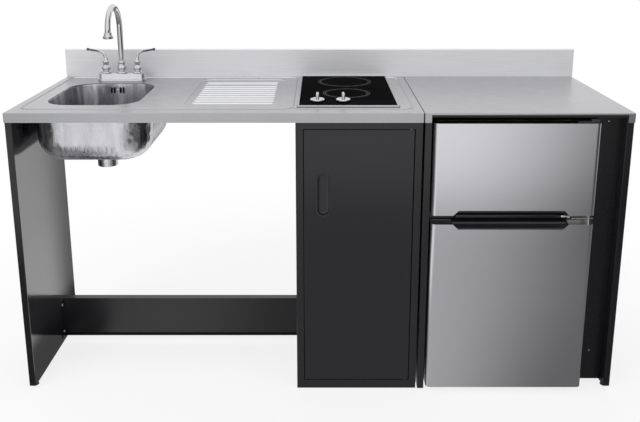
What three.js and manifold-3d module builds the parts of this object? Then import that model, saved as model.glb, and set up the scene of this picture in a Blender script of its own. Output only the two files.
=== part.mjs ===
// Kitchenette unit: a pressed steel worktop with a drained sink and a two-zone hob, carried by a leg panel,
// a storage cabinet and a refrigerator bay. Millimetres, +Z up, the front faces -Y.
// The origin is on the floor, under the middle of the whole unit.

import * as THREE from 'three';
import { mergeVertices } from 'three/addons/utils/BufferGeometryUtils.js';
import Module from 'manifold-3d';

const wasm = await Module();
wasm.setup();

// ---------------------------------------------------------------- driving dimensions

// Whole unit
const unitWidth = 1829;
const unitDepth = 610;
const unitHeight = 889; // floor to worktop surface
const fridgeModuleWidth = 609.8; // the rest of the width is the sink module
const doorProud = 21; // refrigerator doors stand this far out of the worktop edge
const seat = 0.3; // clearance between pieces that rest on each other
const bite = 1; // how far a cutter reaches past the face it opens

// Worktop skins, their boards and the backsplash
const skin = 1.5;
const apronHeight = 29;
const fridgeLip = 6; // what is left of the apron over the refrigerator
const foldRadius = 2.5;
const seamGap = 1.2;
const sinkBoard = 18;
const fridgeBoard = 12;
const boardInset = 1;
const splashHeight = 100;
const splashThickness = 16;
const splashLip = 22;
const beadWidth = 9;
const beadHeight = 2;
const beadInset = 25; // from the left edge of the worktop
const beadFront = 56; // from the front edge
const beadBack = 28; // from the back edge
const bayCorner = 30;
const bayDividerFromSeam = 385; // line between the sink bay and the hob bay
const hobBayMargin = 25; // from the seam

// Drainer
const drainerFromBowl = 144;
const drainerFromDivider = 41.7; // gap to the line between the bays
const drainerFront = 100; // from the front edge
const drainerBack = 63; // from the back edge
const drainerCorner = 25;
const drainerDrop = 3;
const drainerSlope = 4;
const ridgeCount = 11;
const ridgeFront = 45; // first ridge, from the front of the recess
const ridgeBack = 62; // last ridge, from the back of the recess
const ridgeWidth = 17;
const ridgeHeight = 3.2;
const ridgeMargin = 20;

// Sink bowl
const bowlFromLeft = 215.5; // middle of the bowl
const bowlFront = 108.5; // from the front edge
const bowlBack = 146.5; // from the back edge
const bowlWidth = 286;
const bowlCorner = 78;
const bowlDepth = 160;
const bowlWall = 1.2;
const bowlFlange = 14;
const bowlRim = 4;
const bowlTaper = 8;
const bowlFloorRadius = 45;
const bowlFall = 2;
const dishRadius = 46;
const dishDrop = 3;
const strainerHole = 29.6;

// Overflow in the back wall of the bowl
const overflowDrop = 24; // slot centres under the worktop surface
const slotWidth = 7.5;
const slotHeight = 20;
const slotPitch = 10.3;
const overflowBoxWidth = 64;
const overflowBoxHeight = 36;
const overflowBoxDepth = 13;
const overflowPipe = 9;
const overflowTail = 36; // pipe end under the insulation
const overflowAside = 43; // from the drain's axis

// Insulation under the bowl, faced with foil
const blanketSide = 39; // outside the bowl opening
const blanketGap = 6; // to the board around it
const blanketFloor = 13;
const blanketCorner = 105;
const blanketFloorRadius = 74;
const blanketHole = 43;
const sleeveRadius = 32.5;
const sleeveWall = 1.5;
const sleeveLength = 58;
const sleeveFlange = 50;

// Basket strainer
const strainerFlange = 44;
const strainerCup = 29;
const strainerWall = 2;
const strainerDepth = 28;
const tailRadius = 19.5;
const tailLength = 47;
const nutAcrossCorners = 76;
const nutThickness = 8;
const basketRim = 33;
const basketKnob = 7;

// Mixer tap
const tapAside = 2; // right of the bowl's middle
const tapFromBack = 80;
const tapPlateLength = 172;
const tapPlateWidth = 56;
const tapPlateHeight = 27;
const tapPlateFlange = 7;
const valveSpacing = 110;
const valveRadius = 19;
const valveNeck = 12;
const valveBall = 16;
const valveHeight = 56;
const stemRadius = 6;
const stemHeight = 12;
const hubRadius = 13;
const hubHeight = 26;
const leverReach = 66;
const leverRise = 53;
const leverThickness = 4.5;
const leverKnob = 5.5;
const spoutTube = 9.5;
const spoutPost = 60;
const spoutReach = 155;
const spoutHeight = 264; // centre line of the bend above the worktop
const spoutOutlet = 166;
const aeratorRadius = 16.5;
const aeratorHeight = 21;
const aeratorFloor = 10; // where the spout's tube ends inside it
const shankRadius = 10;
const shankLength = 52;
const runningGap = 0.5;

// Hob
const hobFromSeam = 218.2; // middle of the hob
const hobFront = 72; // from the front edge
const hobBack = 27; // from the back edge
const hobWidth = 309;
const hobFrame = 8;
const hobLedge = 6;
const hobFrameHeight = 6;
const hobGlass = 4;
const hobBoxDepth = 35;
const hobBoxMargin = 20;
const hobBoxSheet = 1.2;
const cutoutMargin = 13;
const rearZoneSize = 0.176; // radius as a share of the hob's length
const rearZonePlace = 0.769; // middle as a share of the hob's length
const frontZoneSize = 0.147;
const frontZonePlace = 0.374;
const zoneWall = 5;
const zoneDish = 12;
const knobRadius = 22.5;
const knobDisc = 7;
const knobFin = 24;
const knobFinWidth = 11;
const knobFromHobFront = 74;
const knobPitchShare = 0.2557; // of the hob's width
const knobFirstShare = 0.2994; // of the hob's width, left of its middle
const spindleRadius = 3;
const spindleReach = 12; // below the glass, into the switch
const switchSize = 38;

// Leg panel, stretcher rail and levelling feet
const panelThickness = 20;
const apronClearance = 0.5; // panels stand just inside the aprons
const legPanelBack = 178; // short of the back edge
const footHeight = 8;
const footRadius = 11;
const footStem = 5;
const footFromEdge = 24;
const railHeight = 137;
const railLift = 25;
const railFromBack = 310;
const railSheet = 2;
const railFlange = 25;
const railLip = 9;
const railTab = 30;

// Storage cabinet
const cabinetWidth = 372;
const cabinetFromFront = 4;
const cabinetFromBack = 28;
const cabinetSheet = 2;
const stile = 22;
const doorFloor = 30;
const doorHead = 30.9; // below the top of the cabinet
const doorGap = 2;
const doorThickness = 18;
const hingeFromEdge = 10;
const hingeFromFace = 4;
const pinRadius = 2.5;
const pinEngagement = 14;
const pinGap = 0.4;
const pullWidth = 42;
const pullHeight = 138;
const pullDepth = 14;
const pullRim = 3;
const pullWall = 1.2;
const pullFromEdge = 58;
const pullFromTop = 198;
const shelfFromTop = 459; // below the worktop
const shelfFold = 18;
const rearRailDrop = 8; // under the hob's box
const rearRailHeight = 40;

// Refrigerator bay
const endPanelBack = 20; // short of the back edge
const fridgeSideGap = 3.5;
const fillerSetback = 42;
const fillerFlange = 24;
const fillerFoot = 10;

// Refrigerator
const fridgeWidth = 483;
const fridgeBack = 110; // short of the back edge
const fridgeHeadroom = 12.7; // under the board
const fridgeFoot = 18;
const fridgeFootInset = 100; // from the side
const runnerInset = 40; // from the side
const runnerSetback = 40; // from the back to its middle
const runnerFoot = 10; // half its length on the floor
const runnerHead = 16; // half its length at the cabinet
const fridgeDoor = 45;
const gasketSpace = 6;
const gasketWidth = 13;
const gasketInset = 14;
const fridgeWall = 38;
const freezerDoorHeight = 279.5;
const doorsApart = 27.5;
const doorEdgeRadius = 14;
const mullionHalf = 20;
const pivotFromEdge = 12;
const pivotFromFace = 22;
const pivotRadius = 3;
const pivotGap = 0.5;
const pivotEngagement = 12;
const hingePlate = 3;
const hingePlateWidth = 66;
const hingePlateBack = 60;
const gripWidth = 343;
const gripDepth = 15.5;
const gripLip = 5;
const gripScoop = 24;
const gripGap = 0.4;
const bayHeight = 190; // compressor bay
const bayDepth = 140;
const bayFloor = 6;
const rackWall = 2.5;
const rackDepth = 56;
const rackHeight = 62;
const rackSideGap = 58;
const lowerRackRise = 30; // more than the others
const upperRackPlace = 0.513; // as a share of the compartment's height
const shelfGlass = 5;
const drawerWall = 3;
const drawerHeight = 150;
const dialRadius = 21;
const dialHeight = 14;
const dialFromShelfFront = 70;
const dialGripLength = 36;
const dialGripWidth = 6;
const dialGripDepth = 5;
const compressorRadius = 72;
const compressorHeight = 150;
const compressorAside = 40;
const compressorBedX = 85;
const compressorBedY = 45;
const compressorBed = 10;
const coilTube = 2.5;
const coilWidth = 380;
const coilRuns = 7;
const coilFloor = 50; // above the compressor's bay
const coilHead = 184.5; // below the top
const coilWireInset = 40;
const coilWire = 1.2;
const coilWires = 6;

// Fineness of round shapes
const weld = 1e-4;
const cornerSteps = 5;
const roundSteps = 16;
const tubeSides = 10;
const bendSteps = 6; // stations along each straight run or bend of a tube

// ---------------------------------------------------------------- places worked out from the dimensions

const leftX = -unitWidth / 2;
const rightX = unitWidth / 2;
const seamX = rightX - fridgeModuleWidth;
const frontY = (doorProud - unitDepth) / 2;
const backY = frontY + unitDepth;
const apronZ = unitHeight - apronHeight;
const skinZ = unitHeight - skin;
const boardTopZ = skinZ - seat;
const sinkBoardZ = boardTopZ - sinkBoard;
const fridgeBoardZ = boardTopZ - fridgeBoard;
const bowlLength = unitDepth - bowlFront - bowlBack;
const hobLength = unitDepth - hobFront - hobBack;
const knobPitch = hobWidth * knobPitchShare;
const knobFirst = hobWidth * knobFirstShare;
const drainerLength = unitDepth - drainerFront - drainerBack;
const fridgeTop = fridgeBoardZ - fridgeHeadroom;
const freezerDoorFloor = fridgeTop - freezerDoorHeight;
const lowerDoorTop = freezerDoorFloor - doorsApart;

// ---------------------------------------------------------------- geometry helpers

// Six times the volume under one triangle, signed by its winding.
function signedVolume(points, a, b, c) {
  const [p, q, r] = [a, b, c].map((i) => new THREE.Vector3().fromArray(points, 3 * i));
  return p.dot(q.cross(r));
}

// A closed geometry as a solid, with welded corners and its faces turned outwards.
function solid(geometry) {
  geometry.deleteAttribute('normal');
  geometry.deleteAttribute('uv');
  const welded = mergeVertices(geometry, weld);
  const points = Float32Array.from(welded.attributes.position.array);
  const corners = welded.index.array;
  const faces = [];
  let volume = 0;
  for (let i = 0; i < corners.length; i += 3) {
    const [a, b, c] = [corners[i], corners[i + 1], corners[i + 2]];
    if (a === b || b === c || c === a) continue;
    faces.push([a, b, c]);
    volume += signedVolume(points, a, b, c);
  }
  const outward = volume < 0 ? faces.map(([a, b, c]) => [a, c, b]) : faces;
  const triVerts = Uint32Array.from(outward.flat());
  return new wasm.Manifold(new wasm.Mesh({ numProp: 3, vertProperties: points, triVerts }));
}

const join = (...bodies) => bodies.reduce((whole, body) => whole.add(body));
const cut = (whole, ...bodies) => bodies.reduce((rest, body) => rest.subtract(body), whole);

function surface(body) {
  const mesh = body.getMesh();
  const geometry = new THREE.BufferGeometry();
  geometry.setAttribute('position', new THREE.BufferAttribute(mesh.vertProperties, 3));
  geometry.setIndex(new THREE.BufferAttribute(mesh.triVerts, 1));
  geometry.computeVertexNormals();
  return geometry;
}

function piece(parent, name, body, finish) {
  const mesh = new THREE.Mesh(surface(body), new THREE.MeshStandardMaterial(finish));
  mesh.name = name;
  parent.add(mesh);
}

function groupAt(parent, x, y, z) {
  const group = new THREE.Group();
  group.position.set(x, y, z);
  parent.add(group);
  return group;
}

function box(x0, x1, y0, y1, z0, z1) {
  const block = new THREE.BoxGeometry(x1 - x0, y1 - y0, z1 - z0);
  return solid(block.translate((x0 + x1) / 2, (y0 + y1) / 2, (z0 + z1) / 2));
}

const polygon = (points) => new THREE.Shape(points.map(([x, y]) => new THREE.Vector2(x, y)));

function roundedRectangle(x0, x1, y0, y1, radius) {
  const shape = new THREE.Shape();
  shape.absarc(x1 - radius, y0 + radius, radius, -Math.PI / 2, 0);
  shape.absarc(x1 - radius, y1 - radius, radius, 0, Math.PI / 2);
  shape.absarc(x0 + radius, y1 - radius, radius, Math.PI / 2, Math.PI);
  shape.absarc(x0 + radius, y0 + radius, radius, Math.PI, 1.5 * Math.PI);
  return shape;
}

function prism(shape, depth, fineness) {
  return new THREE.ExtrudeGeometry(shape, { depth, bevelEnabled: false, curveSegments: fineness });
}

// A shape drawn in X and Y, raised from z0 to z1.
const raise = (shape, z0, z1, fineness = 3) => solid(prism(shape, z1 - z0, fineness).translate(0, 0, z0));

// A shape drawn in Y and Z, run along X.
function runAcross(shape, x0, x1, fineness = 3) {
  const [along, up, across] = [[0, 1, 0], [0, 0, 1], [1, 0, 0]].map((v) => new THREE.Vector3(...v));
  const turn = new THREE.Matrix4().makeBasis(along, up, across);
  return solid(prism(shape, x1 - x0, fineness).applyMatrix4(turn).translate(x0, 0, 0));
}

// A shape drawn in X and Z, run along Y.
function runBack(shape, y0, y1, fineness = 3) {
  return solid(prism(shape, y1 - y0, fineness).rotateX(Math.PI / 2).translate(0, y1, 0));
}

// A profile of [radius, height] points turned about an upright axis at x, y.
function revolve(profile, x = 0, y = 0, z = 0, steps = roundSteps) {
  const closed = profile[0][0] > 0 ? [...profile, profile[0]] : profile;
  const points = closed.map(([r, h]) => new THREE.Vector2(r, h));
  return solid(new THREE.LatheGeometry(points, steps).rotateX(Math.PI / 2).translate(x, y, z));
}

const rod = (radius, x, y, z0, z1, steps = roundSteps) =>
  revolve([[0, z0], [radius, z0], [radius, z1], [0, z1]], x, y, 0, steps);

function circle(radius, x = 0, y = 0) {
  const path = new THREE.Path();
  path.absarc(x, y, radius, 0, 2 * Math.PI);
  return path;
}

// A path made of curves, stepped by its pieces and not by length, so that straight runs stay coarse.
class PiecewisePath extends THREE.Curve {
  constructor(pieces) {
    super();
    this.pieces = pieces;
  }

  getPoint(t, target) {
    const place = Math.max(0, Math.min(t, 1)) * this.pieces.length;
    const index = Math.min(Math.floor(place), this.pieces.length - 1);
    return this.pieces[index].getPoint(place - index, target);
  }

  getPointAt(t, target) {
    return this.getPoint(t, target);
  }

  getTangentAt(t, target) {
    return this.getTangent(t, target);
  }
}

// A round tube along a row of curves.
function tube(pieces, radius, stepsEach = bendSteps, sides = tubeSides) {
  const ring = [];
  for (let i = 0; i < sides; i += 1) {
    const angle = (2 * Math.PI * i) / sides;
    ring.push([radius * Math.cos(angle), radius * Math.sin(angle)]);
  }
  const extrudePath = new PiecewisePath(pieces);
  const steps = stepsEach * pieces.length;
  return solid(new THREE.ExtrudeGeometry(polygon(ring), { extrudePath, steps, bevelEnabled: false }));
}

// Straight runs through the points, with each corner rounded.
function bentLine(points, bend) {
  const pieces = [];
  const nodes = points.map((p) => new THREE.Vector3(...p));
  let start = nodes[0];
  for (let i = 1; i < nodes.length - 1; i += 1) {
    const before = nodes[i].clone().add(nodes[i - 1].clone().sub(nodes[i]).setLength(bend));
    const after = nodes[i].clone().add(nodes[i + 1].clone().sub(nodes[i]).setLength(bend));
    pieces.push(new THREE.LineCurve3(start, before));
    pieces.push(new THREE.QuadraticBezierCurve3(before, nodes[i], after));
    start = after;
  }
  pieces.push(new THREE.LineCurve3(start, nodes[nodes.length - 1]));
  return pieces;
}

// Corner points of a rounded rectangle at height z, anticlockwise from above.
function roundedRing(x, y, halfX, halfY, radius, z, steps = cornerSteps) {
  const ring = [];
  for (let quarter = 0; quarter < 4; quarter += 1) {
    const signX = quarter === 0 || quarter === 3 ? 1 : -1;
    const signY = quarter < 2 ? 1 : -1;
    for (let i = 0; i <= steps; i += 1) {
      const angle = (Math.PI / 2) * (quarter + i / steps);
      const px = x + signX * (halfX - radius) + radius * Math.cos(angle);
      const py = y + signY * (halfY - radius) + radius * Math.sin(angle);
      ring.push(new THREE.Vector3(px, py, z));
    }
  }
  return ring;
}

// A circle with as many points as another ring, spread evenly from the same corner.
function circleLike(ring, x, y, radius, z) {
  return ring.map((_, i) => {
    const angle = (2 * Math.PI * (i + 0.5)) / ring.length;
    return new THREE.Vector3(x + radius * Math.cos(angle), y + radius * Math.sin(angle), z);
  });
}

// A skin through a row of rings. It closes on itself, or is capped at both ends.
function loft(rings, looped = false) {
  const count = rings[0].length;
  const points = rings.flat().flatMap((p) => [p.x, p.y, p.z]);
  const faces = [];
  const spans = looped ? rings.length : rings.length - 1;
  for (let r = 0; r < spans; r += 1) {
    const next = (r + 1) % rings.length;
    for (let i = 0; i < count; i += 1) {
      const j = (i + 1) % count;
      const [a, b, c, d] = [r * count + i, r * count + j, next * count + j, next * count + i];
      faces.push(a, b, c, a, c, d);
    }
  }
  if (!looped) {
    const lastStart = (rings.length - 1) * count;
    for (let i = 1; i < count - 1; i += 1) {
      faces.push(0, i + 1, i);
      faces.push(lastStart, lastStart + i, lastStart + i + 1);
    }
  }
  const geometry = new THREE.BufferGeometry();
  geometry.setAttribute('position', new THREE.Float32BufferAttribute(points, 3));
  geometry.setIndex(faces);
  return solid(geometry);
}

// A slab with upright corners of one radius and its top edge rounded by another.
function slab(x0, x1, y0, y1, z0, z1, corner, edge, steps = 2) {
  const [x, y] = [(x0 + x1) / 2, (y0 + y1) / 2];
  const [halfX, halfY] = [(x1 - x0) / 2, (y1 - y0) / 2];
  const ring = (inset, z) => roundedRing(x, y, halfX - inset, halfY - inset, Math.max(corner - inset, 0.1), z, steps);
  const rings = [ring(0, z0)];
  for (let i = 0; i <= steps; i += 1) {
    const angle = (Math.PI / 2) * (i / steps);
    rings.push(ring(edge * (1 - Math.cos(angle)), z1 - edge * (1 - Math.sin(angle))));
  }
  return loft(rings);
}

// ---------------------------------------------------------------- finishes

const brushedSteel = { color: 0xb4b3b9, roughness: 0.34, metalness: 1 };
const polishedSteel = { color: 0x9b9ca2, roughness: 0.2, metalness: 1 };
const chrome = { color: 0xd8d9dc, roughness: 0.07, metalness: 1 };
const foil = { color: 0xc9cacf, roughness: 0.3, metalness: 1 };
const blackGlass = { color: 0x08080a, roughness: 0.06, metalness: 0 };
const satinBlack = { color: 0x2f2c32, roughness: 0.42, metalness: 0.1 };
const silverDoor = { color: 0xb9b8bd, roughness: 0.32, metalness: 0.9 };
const blackPlastic = { color: 0x1b1b1f, roughness: 0.4, metalness: 0 };
const whitePlastic = { color: 0xe9eaec, roughness: 0.4, metalness: 0 };
const clearPlastic = { color: 0xdfe8ec, roughness: 0.12, metalness: 0 };
const blackRubber = { color: 0x151517, roughness: 0.8, metalness: 0 };
const darkBoard = { color: 0x2a2623, roughness: 0.8, metalness: 0 };
const darkSteel = { color: 0x3a3b3e, roughness: 0.5, metalness: 0.8 };
const zincSteel = { color: 0xa9abad, roughness: 0.35, metalness: 1 };

const unit = new THREE.Group();

// ---------------------------------------------------------------- worktop

// A folded tray: flat top, rounded fold and an apron on all four sides, open underneath.
function pressedPan(x0, x1) {
  const outside = slab(x0, x1, frontY, backY, apronZ, unitHeight, foldRadius, foldRadius);
  const inside = box(x0 + skin, x1 - skin, frontY + skin, backY - skin, apronZ - bite, skinZ);
  return cut(outside, inside);
}

const bowlX = leftX + bowlFromLeft;
const bowlY = frontY + bowlFront + bowlLength / 2;
const bowlTop = skinZ - seat;
const hobX = seamX - hobFromSeam;
const hobY = frontY + hobFront + hobLength / 2;
const tapX = bowlX + tapAside;
const tapY = backY - tapFromBack;
const dividerX = seamX - bayDividerFromSeam;
const drainerWidth = dividerX - drainerFromDivider - (bowlX + bowlWidth / 2 + drainerFromBowl);
const drainerX = dividerX - drainerFromDivider - drainerWidth / 2;

// A low half-round line pressed up out of the sheet, around a bay.
function bead(x0, x1, y0, y1) {
  const [x, y, halfX, halfY] = [(x0 + x1) / 2, (y0 + y1) / 2, (x1 - x0) / 2, (y1 - y0) / 2];
  const section = [[-1, -skin / 2], [-0.6, beadHeight * 0.8], [0, beadHeight], [0.6, beadHeight * 0.8], [1, -skin / 2]];
  const rings = section.map(([side, rise]) => {
    const out = (side * beadWidth) / 2;
    return roundedRing(x, y, halfX + out, halfY + out, bayCorner + out, unitHeight + rise, 4);
  });
  return loft(rings, true);
}

// The drainer's recess, grown by the sheet when it is the sheet's own underside.
function drainerRecess(grow) {
  const [x, y] = [drainerX, frontY + drainerFront + drainerLength / 2];
  const ring = (inset, z) =>
    roundedRing(x, y, drainerWidth / 2 - inset, drainerLength / 2 - inset, drainerCorner - inset, z, 3);
  const mouth = grow > 0 ? unitHeight - skin / 2 : unitHeight + bite;
  return loft([ring(-grow, mouth), ring(-grow, skinZ), ring(drainerSlope - grow, unitHeight - drainerDrop - grow)]);
}

function ridge(y) {
  const [x, halfX] = [drainerX, drainerWidth / 2 - ridgeMargin];
  const floor = unitHeight - drainerDrop;
  const ring = (inset, z) =>
    roundedRing(x, y, halfX - inset, ridgeWidth / 2 - inset, ridgeWidth / 2 - inset - 0.2, z, 2);
  return loft([
    ring(0, floor - skin / 2),
    ring(ridgeWidth * 0.1, floor + ridgeHeight * 0.6),
    ring(ridgeWidth * 0.3, floor + ridgeHeight),
  ]);
}

const bowlMouth = (grow) =>
  roundedRectangle(
    bowlX - bowlWidth / 2 - grow,
    bowlX + bowlWidth / 2 + grow,
    bowlY - bowlLength / 2 - grow,
    bowlY + bowlLength / 2 + grow,
    bowlCorner + grow,
  );

const hobCutout = (grow) =>
  roundedRectangle(
    hobX - hobWidth / 2 + cutoutMargin - grow,
    hobX + hobWidth / 2 - cutoutMargin + grow,
    hobY - hobLength / 2 + cutoutMargin - grow,
    hobY + hobLength / 2 - cutoutMargin + grow,
    foldRadius,
  );

const valvePlaces = [-valveSpacing / 2, valveSpacing / 2];

function buildWorktop() {
  const sinkTopRight = seamX - seamGap / 2;
  const fridgeTopLeft = seamX + seamGap / 2;

  const ridges = [];
  const ridgePitch = (drainerLength - ridgeFront - ridgeBack) / (ridgeCount - 1);
  for (let i = 0; i < ridgeCount; i += 1) {
    ridges.push(ridge(frontY + drainerFront + ridgeFront + i * ridgePitch));
  }
  const tapHoles = valvePlaces.map((x) => rod(shankRadius + 2, tapX + x, tapY, skinZ - bite, unitHeight + bite));
  const bays = join(
    bead(leftX + beadInset, dividerX, frontY + beadFront, backY - beadBack),
    bead(dividerX, seamX - hobBayMargin, frontY + beadFront, backY - beadBack),
  );
  const hobFootprint = box(
    hobX - hobWidth / 2 - seat,
    hobX + hobWidth / 2 + seat,
    hobY - hobLength / 2 - seat,
    hobY + hobLength / 2 + seat,
    unitHeight,
    unitHeight + beadHeight + bite,
  );
  const tapFootprint = box(
    tapX - tapPlateLength / 2 - 1,
    tapX + tapPlateLength / 2 + 1,
    tapY - tapPlateWidth / 2 - 1,
    tapY + tapPlateWidth / 2 + 1,
    unitHeight,
    unitHeight + beadHeight + bite,
  );
  const sinkTop = cut(
    join(cut(join(pressedPan(leftX, sinkTopRight), drainerRecess(skin)), drainerRecess(0)), bays, ...ridges),
    raise(bowlMouth(0), skinZ - bite, unitHeight + beadHeight + bite, 4),
    raise(hobCutout(0), skinZ - bite, unitHeight + beadHeight + bite),
    hobFootprint,
    tapFootprint,
    ...tapHoles,
  );
  piece(unit, 'worktop_left', sinkTop, brushedSteel);

  const lipX0 = fridgeTopLeft + panelThickness;
  const lipX1 = rightX - panelThickness;
  const notch = box(lipX0, lipX1, frontY - bite, frontY + skin + bite, apronZ - bite, unitHeight - fridgeLip);
  piece(unit, 'worktop_right', cut(pressedPan(fridgeTopLeft, rightX), notch), brushedSteel);

  const board = (x0, x1, z0) => {
    const inset = skin + boardInset;
    return box(x0 + inset, x1 - inset, frontY + inset, backY - inset, z0, boardTopZ);
  };
  const sinkBoardBody = cut(
    board(leftX, sinkTopRight, sinkBoardZ),
    raise(bowlMouth(blanketSide + blanketGap), sinkBoardZ - bite, boardTopZ + bite, cornerSteps),
    raise(hobCutout(1), sinkBoardZ - bite, boardTopZ + bite),
    drainerRecess(skin + seat),
    ...valvePlaces.map((x) => rod(shankRadius + 4, tapX + x, tapY, sinkBoardZ - bite, boardTopZ + bite)),
  );
  piece(unit, 'worktop_board_left', sinkBoardBody, darkBoard);
  piece(unit, 'worktop_board_right', board(fridgeTopLeft, rightX, fridgeBoardZ), darkBoard);

  const splashZ = unitHeight + seat;
  const splashTop = splashZ + splashHeight;
  const splashFront = backY - splashThickness;
  const fold = foldRadius;
  const splashSection = new THREE.Shape();
  splashSection.moveTo(splashFront, splashZ);
  splashSection.lineTo(backY, splashZ);
  splashSection.lineTo(backY, splashZ + skin);
  splashSection.lineTo(splashFront + skin, splashZ + skin);
  splashSection.lineTo(splashFront + skin, splashTop - skin);
  splashSection.lineTo(backY - skin, splashTop - skin);
  splashSection.lineTo(backY - skin, splashTop - splashLip);
  splashSection.lineTo(backY, splashTop - splashLip);
  splashSection.lineTo(backY, splashTop);
  splashSection.lineTo(splashFront + fold, splashTop);
  splashSection.absarc(splashFront + fold, splashTop - fold, fold, Math.PI / 2, Math.PI);
  const ends = [leftX, rightX - skin].map((x) =>
    box(x, x + skin, splashFront + fold / 2, backY - skin / 2, splashZ + skin / 2, splashTop - skin / 2),
  );
  piece(unit, 'backsplash', join(runAcross(splashSection, leftX, rightX, 2), ...ends), brushedSteel);
}

// ---------------------------------------------------------------- sink

// Rings of the drawn bowl from its flange down to the strainer hole, grown outwards by a distance.
function bowlRings(grow) {
  const rings = [];
  const wallRing = (inset, drop) => {
    const [halfX, halfY] = [bowlWidth / 2 - inset, bowlLength / 2 - inset];
    rings.push(roundedRing(bowlX, bowlY, halfX, halfY, bowlCorner - inset, bowlTop - drop, cornerSteps));
  };
  wallRing(-bowlFlange, grow);
  for (const turn of [0, Math.PI / 4, Math.PI / 2]) {
    const radius = bowlRim - grow;
    wallRing(-bowlRim + radius * Math.sin(turn), bowlRim - radius * Math.cos(turn));
  }
  const filletSteps = 4;
  for (let i = 0; i <= filletSteps; i += 1) {
    const turn = (Math.PI / 2) * (i / filletSteps);
    const radius = bowlFloorRadius + grow;
    const inset = bowlTaper + bowlFloorRadius - radius * Math.cos(turn);
    wallRing(inset, bowlDepth - bowlFloorRadius + radius * Math.sin(turn));
  }
  const lastWall = rings[rings.length - 1];
  const floorRing = (radius, drop) =>
    rings.push(circleLike(lastWall, bowlX, bowlY, radius, bowlTop - bowlDepth - drop - grow));
  floorRing(dishRadius + dishDrop + grow, bowlFall);
  floorRing(dishRadius + grow, bowlFall + dishDrop);
  floorRing(strainerHole, bowlFall + dishDrop);
  return rings;
}

// The whole room that the bowl takes up, filled, as a cutter for what surrounds it.
function bowlBlock(grow) {
  const rings = bowlRings(grow);
  const lid = rings[0].map((p) => new THREE.Vector3(p.x, p.y, bowlTop + bite));
  return loft([lid, ...rings]);
}

const dishZ = bowlTop - bowlDepth - bowlFall - dishDrop;
const blanketZ = dishZ - bowlWall - blanketFloor;
const overflowZ = unitHeight - overflowDrop;
const overflowY = bowlY + bowlLength / 2;

function overflowSlots() {
  const offsets = [-2, -1, 1, 2];
  return offsets.map((place) => {
    const x = bowlX + place * slotPitch;
    const [half, tall] = [slotWidth / 2, slotHeight / 2];
    const outline = roundedRectangle(x - half, x + half, overflowZ - tall, overflowZ + tall, half - 0.2);
    return runBack(outline, overflowY - 20, overflowY + 5, 2);
  });
}

// Box behind the slots, open towards them, with the pipe that carries the overflow under the bowl.
function overflowBody(grow) {
  const [half, tall] = [overflowBoxWidth / 2 + grow, overflowBoxHeight / 2 + grow];
  const back = overflowY + overflowBoxDepth + grow;
  const shape = roundedRectangle(bowlX - half, bowlX + half, overflowZ - tall, overflowZ + tall, 6);
  const body = runBack(shape, overflowY - 14, back, 2);
  const pipeY = overflowY + overflowBoxDepth / 2 - 0.5;
  const pipeFloor = dishZ - bowlWall - blanketFloor / 2;
  const route = bentLine(
    [
      [bowlX, pipeY, overflowZ - overflowBoxHeight / 2 + 4],
      [bowlX, pipeY, pipeFloor],
      [bowlX + overflowAside, bowlY, pipeFloor],
      [bowlX + overflowAside, bowlY, blanketZ - overflowTail],
    ],
    14,
  );
  return join(body, tube(route, overflowPipe / 2 + grow, 3, 8));
}

function overflowHollow() {
  const [half, tall] = [overflowBoxWidth / 2 - skin, overflowBoxHeight / 2 - skin];
  const back = overflowY + overflowBoxDepth - skin;
  const shape = roundedRectangle(bowlX - half, bowlX + half, overflowZ - tall, overflowZ + tall, 5);
  return runBack(shape, overflowY - 20, back, 2);
}

// Soft insulation moulded round the bowl and faced with foil, with a hole for the strainer.
function blanketBody() {
  const [halfX, halfY] = [bowlWidth / 2 + blanketSide, bowlLength / 2 + blanketSide - 4];
  const top = bowlTop - bowlWall - 2 * runningGap;
  const ring = (inset, z) =>
    roundedRing(bowlX, bowlY, halfX - inset, halfY - inset, blanketCorner - inset, z, cornerSteps);
  const rings = [ring(0, top), ring(3, blanketZ + blanketFloorRadius)];
  for (const turn of [Math.PI / 6, Math.PI / 3, Math.PI / 2]) {
    const inset = 3 + blanketFloorRadius * (1 - Math.cos(turn));
    rings.push(ring(inset, blanketZ + blanketFloorRadius * (1 - Math.sin(turn))));
  }
  return cut(
    loft(rings),
    bowlBlock(bowlWall + runningGap),
    rod(blanketHole, bowlX, bowlY, blanketZ - bite, dishZ),
    overflowBody(runningGap),
  );
}

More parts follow.
